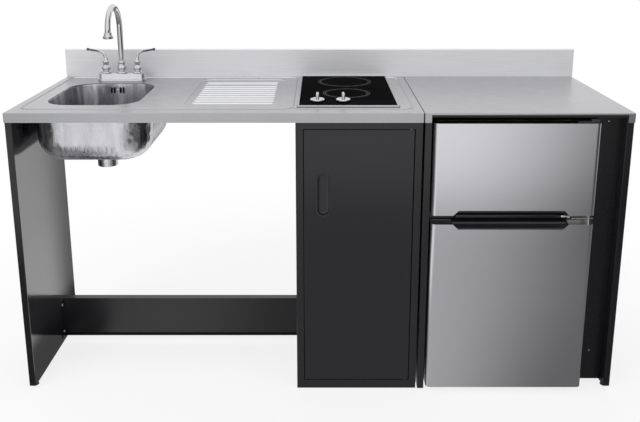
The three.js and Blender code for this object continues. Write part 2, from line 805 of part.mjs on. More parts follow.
function buildSink() {
  const bowl = cut(loft([...bowlRings(0), ...bowlRings(bowlWall).reverse()], true), ...overflowSlots());
  piece(unit, 'sink_bowl', bowl, polishedSteel);
  piece(unit, 'bowl_foil_wrap', blanketBody(), foil);
  const overflow = cut(overflowBody(0), bowlBlock(bowlWall + seat), overflowHollow());
  piece(unit, 'overflow_pipe', overflow, blackPlastic);

  const drain = groupAt(unit, bowlX, bowlY, dishZ);
  const cupInside = strainerCup - strainerWall;
  const tailInside = tailRadius - strainerWall;
  const tailZ = -strainerDepth - tailLength;
  const strainer = revolve([
    [strainerFlange, seat],
    [strainerFlange, seat + 1],
    [strainerFlange - 2, seat + 2],
    [cupInside + 1.5, seat + 2],
    [cupInside, seat + 0.5],
    [cupInside, -strainerDepth + 4],
    [tailInside, -strainerDepth],
    [tailInside, tailZ],
    [tailRadius, tailZ],
    [tailRadius, -strainerDepth - strainerWall],
    [strainerCup, -strainerDepth + 2],
    [strainerCup, seat],
  ]);
  piece(drain, 'strainer_body', strainer, polishedSteel);

  const hexagon = new THREE.Shape();
  for (let i = 0; i < 6; i += 1) {
    const angle = (Math.PI / 3) * (i + 0.5);
    const [x, y] = [(nutAcrossCorners / 2) * Math.cos(angle), (nutAcrossCorners / 2) * Math.sin(angle)];
    if (i === 0) hexagon.moveTo(x, y);
    else hexagon.lineTo(x, y);
  }
  hexagon.holes.push(circle(strainerCup + 2 * runningGap));
  const nutTop = -bowlWall - seat;
  piece(drain, 'strainer_locknut', raise(hexagon, nutTop - nutThickness, nutTop, 8), zincSteel);

  const sleeveTop = blanketZ - dishZ - seat;
  const sleeveInside = sleeveRadius - sleeveWall;
  const sleeve = revolve([
    [sleeveInside, sleeveTop],
    [sleeveFlange, sleeveTop],
    [sleeveFlange, sleeveTop - sleeveWall],
    [sleeveRadius + 3, sleeveTop - sleeveWall - 1],
    [sleeveRadius, sleeveTop - sleeveWall - 5],
    [sleeveRadius, sleeveTop - sleeveLength],
    [sleeveInside, sleeveTop - sleeveLength],
  ]);
  const pipeNotch = rod(overflowPipe / 2 + 4, overflowAside + 1, 0, sleeveTop - sleeveLength, sleeveTop + bite, 12);
  piece(drain, 'drain_foil_sleeve', cut(sleeve, pipeNotch), foil);

  const rest = seat + 2 + seat;
  const cup = cupInside - 1.5;
  const basket = revolve([
    [0, -21],
    [cup - 7, -21],
    [cup, -15],
    [cup, rest],
    [basketRim, rest],
    [basketRim, rest + 1.2],
    [cup - 1.5, rest + 1.2],
    [cup - 1.5, -14.4],
    [cup - 7.6, -19.5],
    [5, -19.5],
    [3.5, -12],
    [3.5, 2],
    [basketKnob, 4],
    [basketKnob, 9],
    [basketKnob - 2.5, 11],
    [0, 11],
  ]);
  const holes = [];
  const holeCount = 8;
  for (let i = 0; i < holeCount; i += 1) {
    const angle = (2 * Math.PI * i) / holeCount;
    holes.push(rod(2.6, 12 * Math.cos(angle), 12 * Math.sin(angle), -22, -18, 6));
  }
  piece(drain, 'strainer_basket', cut(basket, ...holes), polishedSteel);
}

// ---------------------------------------------------------------- mixer tap

function buildTap() {
  const tap = groupAt(unit, tapX, tapY, unitHeight);
  const [halfLength, halfWidth] = [tapPlateLength / 2, tapPlateWidth / 2];
  const plateRing = (inset, z) =>
    roundedRing(0, 0, halfLength - inset, halfWidth - inset, halfWidth - inset - 0.2, z, cornerSteps);
  const plate = loft([
    plateRing(0, seat),
    plateRing(0, tapPlateFlange - 1.5),
    plateRing(2.5, tapPlateFlange),
    plateRing(3.5, tapPlateHeight - 3),
    plateRing(7, tapPlateHeight),
  ]);
  const foot = tapPlateHeight - bite;
  const valve = (x) =>
    revolve(
      [
        [0, foot],
        [valveRadius, foot],
        [valveRadius, tapPlateHeight + 3],
        [valveNeck, tapPlateHeight + 7],
        [valveBall, tapPlateHeight + 14],
        [valveBall, tapPlateHeight + 19],
        [valveNeck - 2, valveHeight - 3],
        [valveNeck - 2, valveHeight],
        [stemRadius, valveHeight],
        [stemRadius, valveHeight + stemHeight],
        [0, valveHeight + stemHeight],
      ],
      x,
    );
  const socket = spoutTube - 2 + runningGap;
  const post = revolve([
    [socket, foot],
    [valveRadius + 2, foot],
    [valveRadius + 2, tapPlateHeight + 3],
    [valveNeck + 2, tapPlateHeight + 8],
    [valveBall + 2, tapPlateHeight + 15],
    [valveBall + 2, tapPlateHeight + 20],
    [spoutTube + 4, spoutPost - 5],
    [spoutTube + 4, spoutPost - 2],
    [spoutTube + 3.5, spoutPost],
    [socket, spoutPost],
  ]);
  const shanks = valvePlaces.map((x) => rod(shankRadius, x, 0, -shankLength, tapPlateHeight, 16));
  const tapBase = join(plate, post, ...valvePlaces.map(valve), ...shanks);
  piece(tap, 'faucet_base', tapBase, chrome);

  const bend = spoutReach / 2;
  const riseEnd = spoutHeight - bend;
  const outletEnd = spoutOutlet + aeratorFloor;
  const line = [new THREE.LineCurve3(new THREE.Vector3(0, 0, spoutPost + seat), new THREE.Vector3(0, 0, riseEnd))];
  const quarter = bend * (4 / 3) * Math.tan(Math.PI / 8);
  const [top, out] = [new THREE.Vector3(0, -bend, spoutHeight), new THREE.Vector3(0, -spoutReach, riseEnd)];
  line.push(
    new THREE.CubicBezierCurve3(
      new THREE.Vector3(0, 0, riseEnd),
      new THREE.Vector3(0, 0, riseEnd + quarter),
      new THREE.Vector3(0, -bend + quarter, spoutHeight),
      top,
    ),
  );
  line.push(
    new THREE.CubicBezierCurve3(
      top,
      new THREE.Vector3(0, -bend - quarter, spoutHeight),
      new THREE.Vector3(0, -spoutReach, riseEnd + quarter),
      out,
    ),
  );
  line.push(new THREE.LineCurve3(out, new THREE.Vector3(0, -spoutReach, outletEnd)));
  const plug = rod(spoutTube - 2, 0, 0, tapPlateHeight + 6, spoutPost + 4, 16);
  const collar = revolve([
    [0, spoutPost + seat],
    [spoutTube + 3.5, spoutPost + seat],
    [spoutTube + 4.5, spoutPost + 4],
    [spoutTube + 1, spoutPost + 10],
    [0, spoutPost + 10],
  ]);
  piece(tap, 'faucet_spout', join(tube(line, spoutTube), plug, collar), chrome);

  const aerator = revolve(
    [
      [aeratorRadius - 5, 0],
      [aeratorRadius - 1, 0],
      [aeratorRadius, 2],
      [aeratorRadius - 1, 8],
      [spoutTube + 3, aeratorHeight - 7],
      [spoutTube + 2.5, aeratorHeight],
      [spoutTube + runningGap, aeratorHeight],
      [spoutTube + runningGap, aeratorFloor - seat],
      [aeratorRadius - 5, aeratorFloor - seat - 2],
    ],
    0,
    -spoutReach,
    spoutOutlet,
  );
  piece(tap, 'faucet_aerator', aerator, chrome);

  for (const [side, name] of [[-1, 'faucet_handle_left'], [1, 'faucet_handle_right']]) {
    const handle = groupAt(tap, (side * valveSpacing) / 2, 0, valveHeight + seat);
    const bore = stemRadius + runningGap;
    const hub = revolve([
      [bore, 0],
      [hubRadius - 4, 0],
      [hubRadius - 4, 4],
      [hubRadius, 7],
      [hubRadius, 11],
      [hubRadius - 5, hubHeight * 0.6],
      [hubRadius - 6, hubHeight - 2],
      [0, hubHeight],
      [0, stemHeight + runningGap],
      [bore, stemHeight + runningGap],
    ].reverse());
    const tip = new THREE.Vector3(side * (leverReach - leverKnob), 0, leverRise);
    const curve = new THREE.CubicBezierCurve3(
      new THREE.Vector3(0, 0, hubHeight - 6),
      new THREE.Vector3(side * leverReach * 0.05, 0, leverRise - 6),
      new THREE.Vector3(side * leverReach * 0.25, 0, leverRise - 8),
      tip,
    );
    const end = revolve(
      [
        [0, -leverKnob],
        [leverKnob * 0.75, -leverKnob * 0.65],
        [leverKnob, 0],
        [leverKnob * 0.75, leverKnob * 0.65],
        [0, leverKnob],
      ],
      tip.x,
      tip.y,
      tip.z,
    );
    piece(handle, name, join(hub, tube([curve], leverThickness, 8, 8), end), chrome);
  }
}

// ---------------------------------------------------------------- hob

function buildHob() {
  const hob = groupAt(unit, hobX, hobY, unitHeight);
  const [halfX, halfY] = [hobWidth / 2, hobLength / 2];
  const ledgeTop = seat + 1.5;
  const glassZ = ledgeTop + seat;
  const glassTop = glassZ + hobGlass;
  const frameRing = (inset, z) => roundedRing(0, 0, halfX - inset, halfY - inset, Math.max(6 - inset, 1), z, 3);
  const frameRings = [
    frameRing(0, seat),
    frameRing(0, hobFrameHeight - 2),
    frameRing(1.5, hobFrameHeight),
    frameRing(hobFrame - 1, hobFrameHeight),
    frameRing(hobFrame - seat, glassTop - 1),
    frameRing(hobFrame - seat, ledgeTop),
    frameRing(hobFrame + hobLedge, ledgeTop),
    frameRing(hobFrame + hobLedge, seat),
  ];
  piece(hob, 'hob_trim', loft(frameRings, true), brushedSteel);

  const knobY = knobFromHobFront - halfY;
  const knobPlaces = [-knobFirst, -knobFirst + knobPitch];
  const glass = cut(
    slab(-halfX + hobFrame, halfX - hobFrame, -halfY + hobFrame, halfY - hobFrame, glassZ, glassTop, 2, 0.8),
    ...knobPlaces.map((x) => rod(spindleRadius + 1.5, x, knobY, glassZ - bite, glassTop + bite, 16)),
  );
  piece(hob, 'hob_glass', glass, blackGlass);

  const boxTop = glassZ - seat;
  const boxZ = boxTop - hobBoxDepth;
  const [boxX, boxY] = [halfX - hobBoxMargin, halfY - hobBoxMargin];
  const tray = cut(
    slab(-boxX, boxX, -boxY, boxY, boxZ, boxTop, 6, 0.2),
    box(-boxX + hobBoxSheet, boxX - hobBoxSheet, -boxY + hobBoxSheet, boxY - hobBoxSheet, boxZ + hobBoxSheet, 9),
  );
  const switches = knobPlaces.map((x) => {
    const half = switchSize / 2;
    const outline = roundedRectangle(x - half, x + half, knobY - half, knobY + half, 4);
    outline.holes.push(circle(spindleRadius + runningGap, x, knobY));
    return raise(outline, boxZ + hobBoxSheet / 2, boxTop - seat, 4);
  });
  piece(hob, 'hob_burner_box', join(tray, ...switches), zincSteel);

  const zoneFloor = boxZ + hobBoxSheet + seat;
  const zone = (size, place) => {
    const top = boxTop - seat;
    const radius = size * hobLength;
    const profile = [
      [0, zoneFloor],
      [radius - zoneWall, zoneFloor],
      [radius, zoneFloor + zoneWall],
      [radius, top],
      [radius - zoneWall, top],
      [radius - zoneWall * 1.4, top - zoneDish],
      [0, top - zoneDish],
    ];
    return revolve(profile, 0, place * hobLength - halfY);
  };
  piece(hob, 'hob_element_rear', zone(rearZoneSize, rearZonePlace), darkSteel);
  piece(hob, 'hob_element_front', zone(frontZoneSize, frontZonePlace), darkSteel);

  const knobNames = ['hob_knob_left', 'hob_knob_right'];
  knobPlaces.forEach((x, i) => {
    const knob = groupAt(hob, x, knobY, glassTop + seat);
    const disc = revolve([
      [0, 0],
      [knobRadius - 1, 0],
      [knobRadius, 1.5],
      [knobRadius - 1.5, knobDisc - 1],
      [knobRadius - 4, knobDisc],
      [0, knobDisc],
    ]);
    const half = knobFinWidth / 2;
    const finRing = (inset, z) =>
      roundedRing(0, 0, half - inset, knobRadius - 3 - inset, half - inset - 0.2, z, 3);
    const fin = loft([finRing(0, knobDisc - 1), finRing(1, knobFin - 3), finRing(2.5, knobFin)]);
    const spindle = rod(spindleRadius, 0, 0, -glassTop - spindleReach, 1, 12);
    piece(knob, knobNames[i], join(disc, fin, spindle), polishedSteel);
  });
}

// ---------------------------------------------------------------- leg panel, rail and feet

function upright(x0, x1, y0, y1, z0, z1) {
  return slab(x0, x1, y0, y1, z0, z1, 1.5, 1);
}

function levellingFoot(name, x, y) {
  const foot = groupAt(unit, x, y, 0);
  const profile = [
    [0, 0],
    [footRadius, 0],
    [footRadius, 2.5],
    [footRadius - 4, 4.5],
    [footStem, 4.5],
    [footStem, footHeight - seat],
    [0, footHeight - seat],
  ];
  piece(foot, name, revolve(profile), darkSteel);
}

const legX0 = leftX + skin + apronClearance;
const legX1 = legX0 + panelThickness;
const panelY = frontY + skin + apronClearance;
const legPanelDepth = unitDepth - legPanelBack;
const cabinetX1 = seamX - seamGap / 2 - skin - apronClearance;
const cabinetX0 = cabinetX1 - cabinetWidth;

function buildLegFrame() {
  const panelTop = sinkBoardZ - seat;
  const leg = upright(legX0, legX1, panelY, panelY + legPanelDepth, footHeight, panelTop);
  piece(unit, 'leg_panel', leg, satinBlack);
  const footX = (legX0 + legX1) / 2;
  levellingFoot('leg_foot_front', footX, panelY + footFromEdge);
  levellingFoot('leg_foot_rear', footX, panelY + legPanelDepth - footFromEdge);

  const y = backY - railFromBack;
  const [z0, z1] = [railLift, railLift + railHeight];
  const section = polygon([
    [y - railLip, z0],
    [y + railSheet, z0],
    [y + railSheet, z1 - railSheet],
    [y + railFlange, z1 - railSheet],
    [y + railFlange, z1],
    [y, z1],
    [y, z0 + railSheet],
    [y - railLip, z0 + railSheet],
  ]);
  const [x0, x1] = [legX1 + seat, cabinetX0 - seat];
  const tabs = [[x0, x0 + railSheet], [x1 - railSheet, x1]].map(([a, b]) =>
    box(a, b, y - railTab, y + railSheet, z0, z1),
  );
  piece(unit, 'stretcher_rail', join(runAcross(section, x0, x1), ...tabs), satinBlack);
}

// ---------------------------------------------------------------- storage cabinet

function buildCabinet() {
  const [y0, y1] = [frontY + cabinetFromFront, backY - cabinetFromBack];
  const top = sinkBoardZ - seat;
  const doorTop = top - doorHead;
  const doorX0 = cabinetX0 + stile + doorGap;
  const doorX1 = cabinetX1 - stile - doorGap;
  const inside = y0 + doorThickness;
  const hingeX = doorX1 - hingeFromEdge;
  const hingeY = y0 + hingeFromFace;
  const frameZ0 = doorFloor - doorGap;
  const frameZ1 = doorTop + doorGap;
  const hole = (z0, z1) => rod(pinRadius + pinGap, hingeX, hingeY, z0, z1, 16);
  const rail = 16;
  const shell = cut(
    upright(cabinetX0, cabinetX1, y0, y1, 0, top),
    box(cabinetX0 + cabinetSheet, cabinetX1 - cabinetSheet, inside, y1 + bite, cabinetSheet, top + bite),
    box(doorX0 - doorGap, doorX1 + doorGap, y0 - bite, inside + bite, frameZ0, frameZ1),
    hole(frameZ0 - pinEngagement, frameZ0 + bite),
    hole(frameZ1 - bite, frameZ1 + pinEngagement),
  );
  const railX = [cabinetX0 + cabinetSheet / 2, cabinetX1 - cabinetSheet / 2];
  const railTop = unitHeight - hobBoxDepth - rearRailDrop;
  const rearRail = box(...railX, y1 - rail, y1 - rail + cabinetSheet, railTop - rearRailHeight, railTop);
  piece(unit, 'cabinet_shell', join(shell, rearRail), satinBlack);

  const backX0 = cabinetX0 + cabinetSheet + seat;
  const backX1 = cabinetX1 - cabinetSheet - seat;
  const backPanel = box(backX0, backX1, y1 - cabinetSheet, y1, cabinetSheet + seat, top - 2);
  piece(unit, 'cabinet_back', backPanel, satinBlack);

  const shelfHeight = unitHeight - shelfFromTop;
  const [shelfFront, shelfBack] = [inside + 30, y1 - rail - 4];
  const shelfSection = polygon([
    [shelfFront, shelfHeight - shelfFold],
    [shelfFront + 2, shelfHeight - shelfFold],
    [shelfFront + 2, shelfHeight - 2],
    [shelfBack - 2, shelfHeight - 2],
    [shelfBack - 2, shelfHeight - shelfFold],
    [shelfBack, shelfHeight - shelfFold],
    [shelfBack, shelfHeight],
    [shelfFront, shelfHeight],
  ]);
  piece(unit, 'cabinet_shelf', runAcross(shelfSection, backX0, backX1), satinBlack);

  const pullX = doorX0 + pullFromEdge;
  const pullZ = doorTop - pullFromTop;
  const stadium = (grow) => {
    const [half, tall] = [pullWidth / 2 + grow, pullHeight / 2 + grow];
    return roundedRectangle(pullX - half, pullX + half, pullZ - tall, pullZ + tall, half - 0.2);
  };
  const doorPins = [hole(doorFloor - bite, doorFloor + pinEngagement), hole(doorTop - pinEngagement, doorTop + bite)];
  const door = cut(
    upright(doorX0, doorX1, y0, y0 + doorThickness - 1, doorFloor, doorTop),
    raiseFromDoor(stadium(-pullRim + seat), y0 - bite, y0 + doorThickness),
    ...doorPins,
  );
  piece(unit, 'cabinet_door', door, satinBlack);
  const cupBack = y0 + pullDepth;
  const pull = cut(
    join(
      raiseFromDoor(stadium(0), y0 - pullWall - seat, y0 - seat),
      raiseFromDoor(stadium(-pullRim), y0 - seat - 0.5, cupBack),
    ),
    raiseFromDoor(stadium(-pullRim - pullWall), y0 - 5, cupBack - pullWall),
  );
  piece(unit, 'cabinet_door_pull', pull, blackPlastic);

  const pin = (z0, z1) => rod(pinRadius, hingeX, hingeY, z0, z1, 16);
  const reach = pinEngagement - seat;
  piece(unit, 'cabinet_pin_lower', pin(frameZ0 - reach, doorFloor + reach), zincSteel);
  piece(unit, 'cabinet_pin_upper', pin(doorTop - reach, frameZ1 + reach), zincSteel);
}

// A shape drawn on the door's face, run from one depth to another.
function raiseFromDoor(shape, y0, y1) {
  return runBack(shape, y0, y1, 3);
}

// ---------------------------------------------------------------- refrigerator bay

const endLeftX0 = seamX + seamGap / 2 + skin + apronClearance;
const endLeftX1 = endLeftX0 + panelThickness;
const endRightX1 = rightX - skin - apronClearance;
const endRightX0 = endRightX1 - panelThickness;
const fridgeX0 = endLeftX1 + fridgeSideGap;
const fridgeX1 = fridgeX0 + fridgeWidth;

function buildBay() {
  const panelTop = fridgeBoardZ - seat;
  const back = panelY + unitDepth - endPanelBack;
  piece(unit, 'end_panel_left', upright(endLeftX0, endLeftX1, panelY, back, 0, panelTop), satinBlack);
  piece(unit, 'end_panel_right', upright(endRightX0, endRightX1, panelY, back, footHeight, panelTop), satinBlack);
  const footX = (endRightX0 + endRightX1) / 2;
  levellingFoot('end_foot_front', footX, panelY + footFromEdge);
  levellingFoot('end_foot_rear', footX, back - footFromEdge);

  const y = frontY + fillerSetback;
  const [x0, x1] = [fridgeX1 + seat, endRightX0 - seat];
  const section = polygon([
    [x0, y],
    [x1, y],
    [x1, y + fillerFlange],
    [x1 - skin, y + fillerFlange],
    [x1 - skin, y + skin],
    [x0 + skin, y + skin],
    [x0 + skin, y + fillerFlange],
    [x0, y + fillerFlange],
  ]);
  piece(unit, 'filler_strip', raise(section, fillerFoot, panelTop), satinBlack);
}

// ---------------------------------------------------------------- refrigerator

function buildFridge() {
  // Local frame: the doors' front face is y = 0 and the left side is x = 0.
  const fridge = groupAt(unit, fridgeX0, frontY - doorProud, 0);
  const width = fridgeWidth;
  const doorBack = fridgeDoor;
  const bodyFront = fridgeDoor + gasketSpace;
  const bodyBack = doorProud + unitDepth - fridgeBack;
  const mullionZ = (freezerDoorFloor + lowerDoorTop) / 2;
  const freezerZ = [mullionZ + mullionHalf, fridgeTop - fridgeWall];
  const coolerZ = [fridgeFoot + fridgeWall + 6, mullionZ - mullionHalf];
  const cavityX = [fridgeWall, width - fridgeWall];
  const cavityBack = bodyBack - fridgeWall;
  const stepFront = bodyBack - bayDepth - fridgeWall;
  const stepTop = fridgeFoot + bayHeight + fridgeWall;

  const bodyOutline = polygon([
    [bodyFront, fridgeFoot],
    [bodyBack, fridgeFoot],
    [bodyBack, fridgeFoot + bayFloor],
    [bodyBack - bayDepth, fridgeFoot + bayFloor],
    [bodyBack - bayDepth, fridgeFoot + bayHeight],
    [bodyBack, fridgeFoot + bayHeight],
    [bodyBack, fridgeTop],
    [bodyFront, fridgeTop],
  ]);
  const coolerOutline = polygon([
    [bodyFront - bite, coolerZ[0]],
    [stepFront, coolerZ[0]],
    [stepFront, stepTop],
    [cavityBack, stepTop],
    [cavityBack, coolerZ[1]],
    [bodyFront - bite, coolerZ[1]],
  ]);
  const runnerY = bodyBack - runnerSetback;
  const runner = polygon([
    [runnerY - runnerFoot, 0],
    [runnerY + runnerFoot, 0],
    [runnerY + runnerHead, fridgeFoot + bayFloor / 2],
    [runnerY - runnerHead, fridgeFoot + bayFloor / 2],
  ]);
  const body = cut(
    join(runAcross(bodyOutline, 0, width), runAcross(runner, runnerInset, width - runnerInset)),
    runAcross(coolerOutline, cavityX[0], cavityX[1]),
    box(cavityX[0], cavityX[1], bodyFront - bite, cavityBack, freezerZ[0], freezerZ[1]),
  );
  piece(fridge, 'fridge_cabinet', body, satinBlack);

  // Doors: front edges rounded, with a chamfered notch for the grip on the edge where they meet.
  const pivotX = width - pivotFromEdge;
  const pivotY = pivotFromFace;
  const doorOutline = new THREE.Shape();
  const edge = doorEdgeRadius;
  doorOutline.absarc(edge, edge, edge, Math.PI, 1.5 * Math.PI);
  doorOutline.absarc(width - edge, edge, edge, 1.5 * Math.PI, 2 * Math.PI);
  doorOutline.lineTo(width, doorBack);
  doorOutline.lineTo(0, doorBack);
  const gripX0 = (width - gripWidth) / 2 - 6;
  const gripX1 = gripX0 + gripWidth;
  const notchShape = (z, way, inset) => {
    const slope = gripDepth - inset;
    return polygon([
      [gripX0 + inset, z],
      [gripX1 - inset, z],
      [gripX1 - inset - slope, z + way * slope],
      [gripX0 + inset + slope, z + way * slope],
    ]);
  };
  const notch = (z, way) => {
    const mouth = polygon([
      [gripX0 - bite, z - way * bite],
      [gripX1 + bite, z - way * bite],
      [gripX1 - gripDepth, z + way * gripDepth],
      [gripX0 + gripDepth, z + way * gripDepth],
    ]);
    return runBack(mouth, -bite, doorBack + bite);
  };
  const pivotHole = (z0, z1) => rod(pivotRadius + pivotGap, pivotX, pivotY, z0, z1, 16);
  const depth = pivotEngagement + bite;
  const freezerDoor = cut(
    raise(doorOutline, freezerDoorFloor, fridgeTop, 3),
    notch(freezerDoorFloor, 1),
    pivotHole(freezerDoorFloor - bite, freezerDoorFloor + depth),
    pivotHole(fridgeTop - depth, fridgeTop + bite),
  );
  const lowerDoor = cut(
    raise(doorOutline, fridgeFoot, lowerDoorTop, 3),
    notch(lowerDoorTop, -1),
    pivotHole(lowerDoorTop - depth, lowerDoorTop + bite),
    pivotHole(fridgeFoot - bite, fridgeFoot + depth),
  );
  piece(fridge, 'freezer_door', freezerDoor, silverDoor);
  piece(fridge, 'fridge_door', lowerDoor, silverDoor);

  // Grips: black scoops that line the two notches.
  const grip = (z, way) => {
    const lipZ = z + way * (gripDepth - gripLip);
    const scoop = new THREE.Shape();
    scoop.moveTo(-bite, z - way * bite);
    scoop.lineTo(-bite, lipZ);
    scoop.lineTo(2, lipZ);
    scoop.quadraticCurveTo(gripScoop, lipZ, gripScoop, z - way * bite);
    return cut(
      runBack(notchShape(z, way, gripGap), 0, doorBack - 1),
      runAcross(scoop, gripX0 - 5, gripX1 + 5, 4),
    );
  };
  piece(fridge, 'freezer_door_grip', grip(freezerDoorFloor, 1), blackPlastic);
  piece(fridge, 'fridge_door_grip', grip(lowerDoorTop, -1), blackPlastic);

  // Magnetic gaskets on the backs of the doors.
  const gasket = (z0, z1) => {
    const frame = (grow) =>
      roundedRectangle(gasketInset + grow, width - gasketInset - grow, z0 + grow, z1 - grow, 4);
    const outline = frame(0);
    outline.holes.push(frame(gasketWidth));
    return runBack(outline, doorBack + seat, bodyFront - seat, 1);
  };
  piece(fridge, 'freezer_gasket', gasket(freezerDoorFloor + 3, fridgeTop - 10), blackRubber);
  piece(fridge, 'fridge_gasket', gasket(fridgeFoot + 10, lowerDoorTop - 3), blackRubber);

  // Hinges at the right: plates on the body with pivots into the doors.
  const plateX0 = width - hingePlateWidth;
  const plate = (z0, z1, back) => box(plateX0, width - 1, pivotY - 8, back, z0, z1);
  const pivot = (z0, z1) => rod(pivotRadius, pivotX, pivotY, z0, z1, 16);
  const topZ = fridgeTop + seat;
  const cover = slab(pivotX - 18, width - 1, pivotY - 10, bodyFront + 22, topZ, topZ + 9, 6, 3);
  const hingeTop = join(
    plate(topZ, topZ + hingePlate, bodyFront + hingePlateBack),
    cover,
    pivot(fridgeTop - pivotEngagement, topZ + 1),
  );
  piece(fridge, 'fridge_hinge_top', hingeTop, blackPlastic);
  const upZ = [lowerDoorTop + 3, freezerDoorFloor - 3];
  const hingeMiddle = join(
    plate(mullionZ - hingePlate / 2, mullionZ + hingePlate / 2, bodyFront - seat),
    box(plateX0, width - 1, bodyFront - seat - hingePlate, bodyFront - seat, upZ[0], upZ[1]),
    pivot(lowerDoorTop - pivotEngagement, freezerDoorFloor + pivotEngagement),
  );
  piece(fridge, 'fridge_hinge_middle', hingeMiddle, zincSteel);
  const lowZ = fridgeFoot - seat;
  const hingeBottom = join(
    plate(lowZ - hingePlate, lowZ, bodyFront + hingePlateBack),
    pivot(lowZ - 1, fridgeFoot + pivotEngagement),
  );
  piece(fridge, 'fridge_hinge_bottom', hingeBottom, zincSteel);

  // Racks on the doors, open at the top.
  const rack = (z, height) => {
    const [x0, x1] = [rackSideGap, width - rackSideGap];
    const [y0, y1] = [doorBack + seat, doorBack + seat + rackDepth];
    const bin = slab(x0, x1, y0, y1, z, z + height, 8, 0.2);
    const room = slab(x0 + rackWall, x1 - rackWall, y0 + rackWall, y1 - rackWall, z + rackWall, z + height + 1, 6, 0.2);
    return cut(bin, room);
  };
  piece(fridge, 'freezer_door_rack', rack(freezerZ[0] + 40, rackHeight), clearPlastic);
  piece(fridge, 'fridge_door_rack_lower', rack(coolerZ[0] + 20, rackHeight + lowerRackRise), clearPlastic);
  const upperRackZ = coolerZ[0] + upperRackPlace * (coolerZ[1] - coolerZ[0]);
  piece(fridge, 'fridge_door_rack_upper', rack(upperRackZ, rackHeight), clearPlastic);

  // Inside: a glass shelf over the compressor's step, a salad drawer under it and the thermostat dial.
  const innerFront = doorBack + rackDepth + 24;
  const [x0, x1] = [cavityX[0] + runningGap, cavityX[1] - runningGap];
  const glassZ = stepTop + seat;
  piece(fridge, 'fridge_shelf', box(x0, x1, innerFront, cavityBack - 2, glassZ, glassZ + shelfGlass), clearPlastic);
  const drawerZ = coolerZ[0] + seat;
  const drawerX = [x0 + 4, x1 - 4];
  const drawerY = [innerFront + 4, stepFront - 4];
  const drawerRoom = [drawerX[0] + drawerWall, drawerX[1] - drawerWall, drawerY[0] + drawerWall, drawerY[1] - drawerWall];
  const drawer = cut(
    slab(...drawerX, ...drawerY, drawerZ, drawerZ + drawerHeight, 8, 0.2),
    slab(...drawerRoom, drawerZ + drawerWall, drawerZ + drawerHeight + 1, 6, 0.2),
  );
  piece(fridge, 'salad_drawer', drawer, clearPlastic);
  const dialZ = coolerZ[1] - seat;
  const dialY = innerFront + dialFromShelfFront;
  const dial = revolve(
    [
      [0, 0],
      [dialRadius, 0],
      [dialRadius, -dialHeight + 3],
      [dialRadius - 3, -dialHeight],
      [0, -dialHeight],
    ],
    width / 2,
    dialY,
    dialZ,
  );
  const [gripX, gripY] = [dialGripWidth / 2, dialGripLength / 2];
  const gripFloor = dialZ - dialHeight - dialGripDepth;
  const bar = box(width / 2 - gripX, width / 2 + gripX, dialY - gripY, dialY + gripY, gripFloor, dialZ - dialHeight / 2);
  piece(fridge, 'thermostat_dial', join(dial, bar), whitePlastic);

  // Back: compressor in its bay and the condenser coil.
  const compressorX = width / 2 + compressorAside;
  const compressorY = bodyBack - bayDepth / 2 - 2;
  const floor = fridgeFoot + bayFloor + seat;
  const [squeeze, shoulder] = [0.86, 22];
  const domeRing = (scale, z) => {
    const [halfX, halfY] = [compressorRadius * scale, compressorRadius * scale * squeeze];
    return roundedRing(compressorX, compressorY, halfX, halfY, halfY * 0.85, z, 4);
  };
  const dome = loft([
    domeRing(0.86, floor + compressorBed - bite),
    domeRing(1, floor + compressorBed + shoulder),
    domeRing(1, floor + compressorHeight - 2 * shoulder),
    domeRing(0.86, floor + compressorHeight - shoulder * 0.8),
    domeRing(0.45, floor + compressorHeight),
  ]);
  const [bedX0, bedX1] = [compressorX - compressorBedX, compressorX + compressorBedX];
  const [bedY0, bedY1] = [compressorY - compressorBedY, compressorY + compressorBedY];
  const bed = slab(bedX0, bedX1, bedY0, bedY1, floor, floor + compressorBed, compressorBed, 1);
  piece(fridge, 'compressor', join(dome, bed), darkSteel);

  const coilY = bodyBack + seat + coilTube;
  const coilX = [(width - coilWidth) / 2, (width + coilWidth) / 2];
  const coilZ = fridgeFoot + bayHeight + coilFloor;
  const coilPitch = (fridgeTop - coilHead - coilZ) / (coilRuns - 1);
  const route = [];
  for (let i = 0; i < coilRuns; i += 1) {
    const z = coilZ + i * coilPitch;
    const ends = i % 2 === 0 ? [coilX[0], coilX[1]] : [coilX[1], coilX[0]];
    ends.forEach((x) => route.push([x, coilY, z]));
  }
  const pipe = tube(bentLine(route, coilPitch / 2 - 1), coilTube, 2, 6);
  const wires = [];
  const wireY = coilY + coilTube + coilWire * 0.3;
  for (let i = 0; i < coilWires; i += 1) {
    const x = coilX[0] + coilWireInset + (i * (coilWidth - 2 * coilWireInset)) / (coilWires - 1);
    wires.push(rod(coilWire, x, wireY, coilZ - 8, coilZ + (coilRuns - 1) * coilPitch + 8, 4));
  }
  piece(fridge, 'condenser_coil', join(pipe, ...wires), darkSteel);

  for (const [side, name] of [[-1, 'fridge_foot_left'], [1, 'fridge_foot_right']]) {
    const x = width / 2 + side * (width / 2 - fridgeFootInset);
    const profile = [[0, 0], [16, 0], [16, 6], [8, 8], [8, fridgeFoot - seat], [0, fridgeFoot - seat]];
    piece(fridge, name, revolve(profile, x, bodyFront + 40), blackPlastic);
  }
}

buildWorktop();
buildSink();
buildTap();
buildHob();
buildLegFrame();
buildCabinet();
buildBay();
buildFridge();

export default unit;
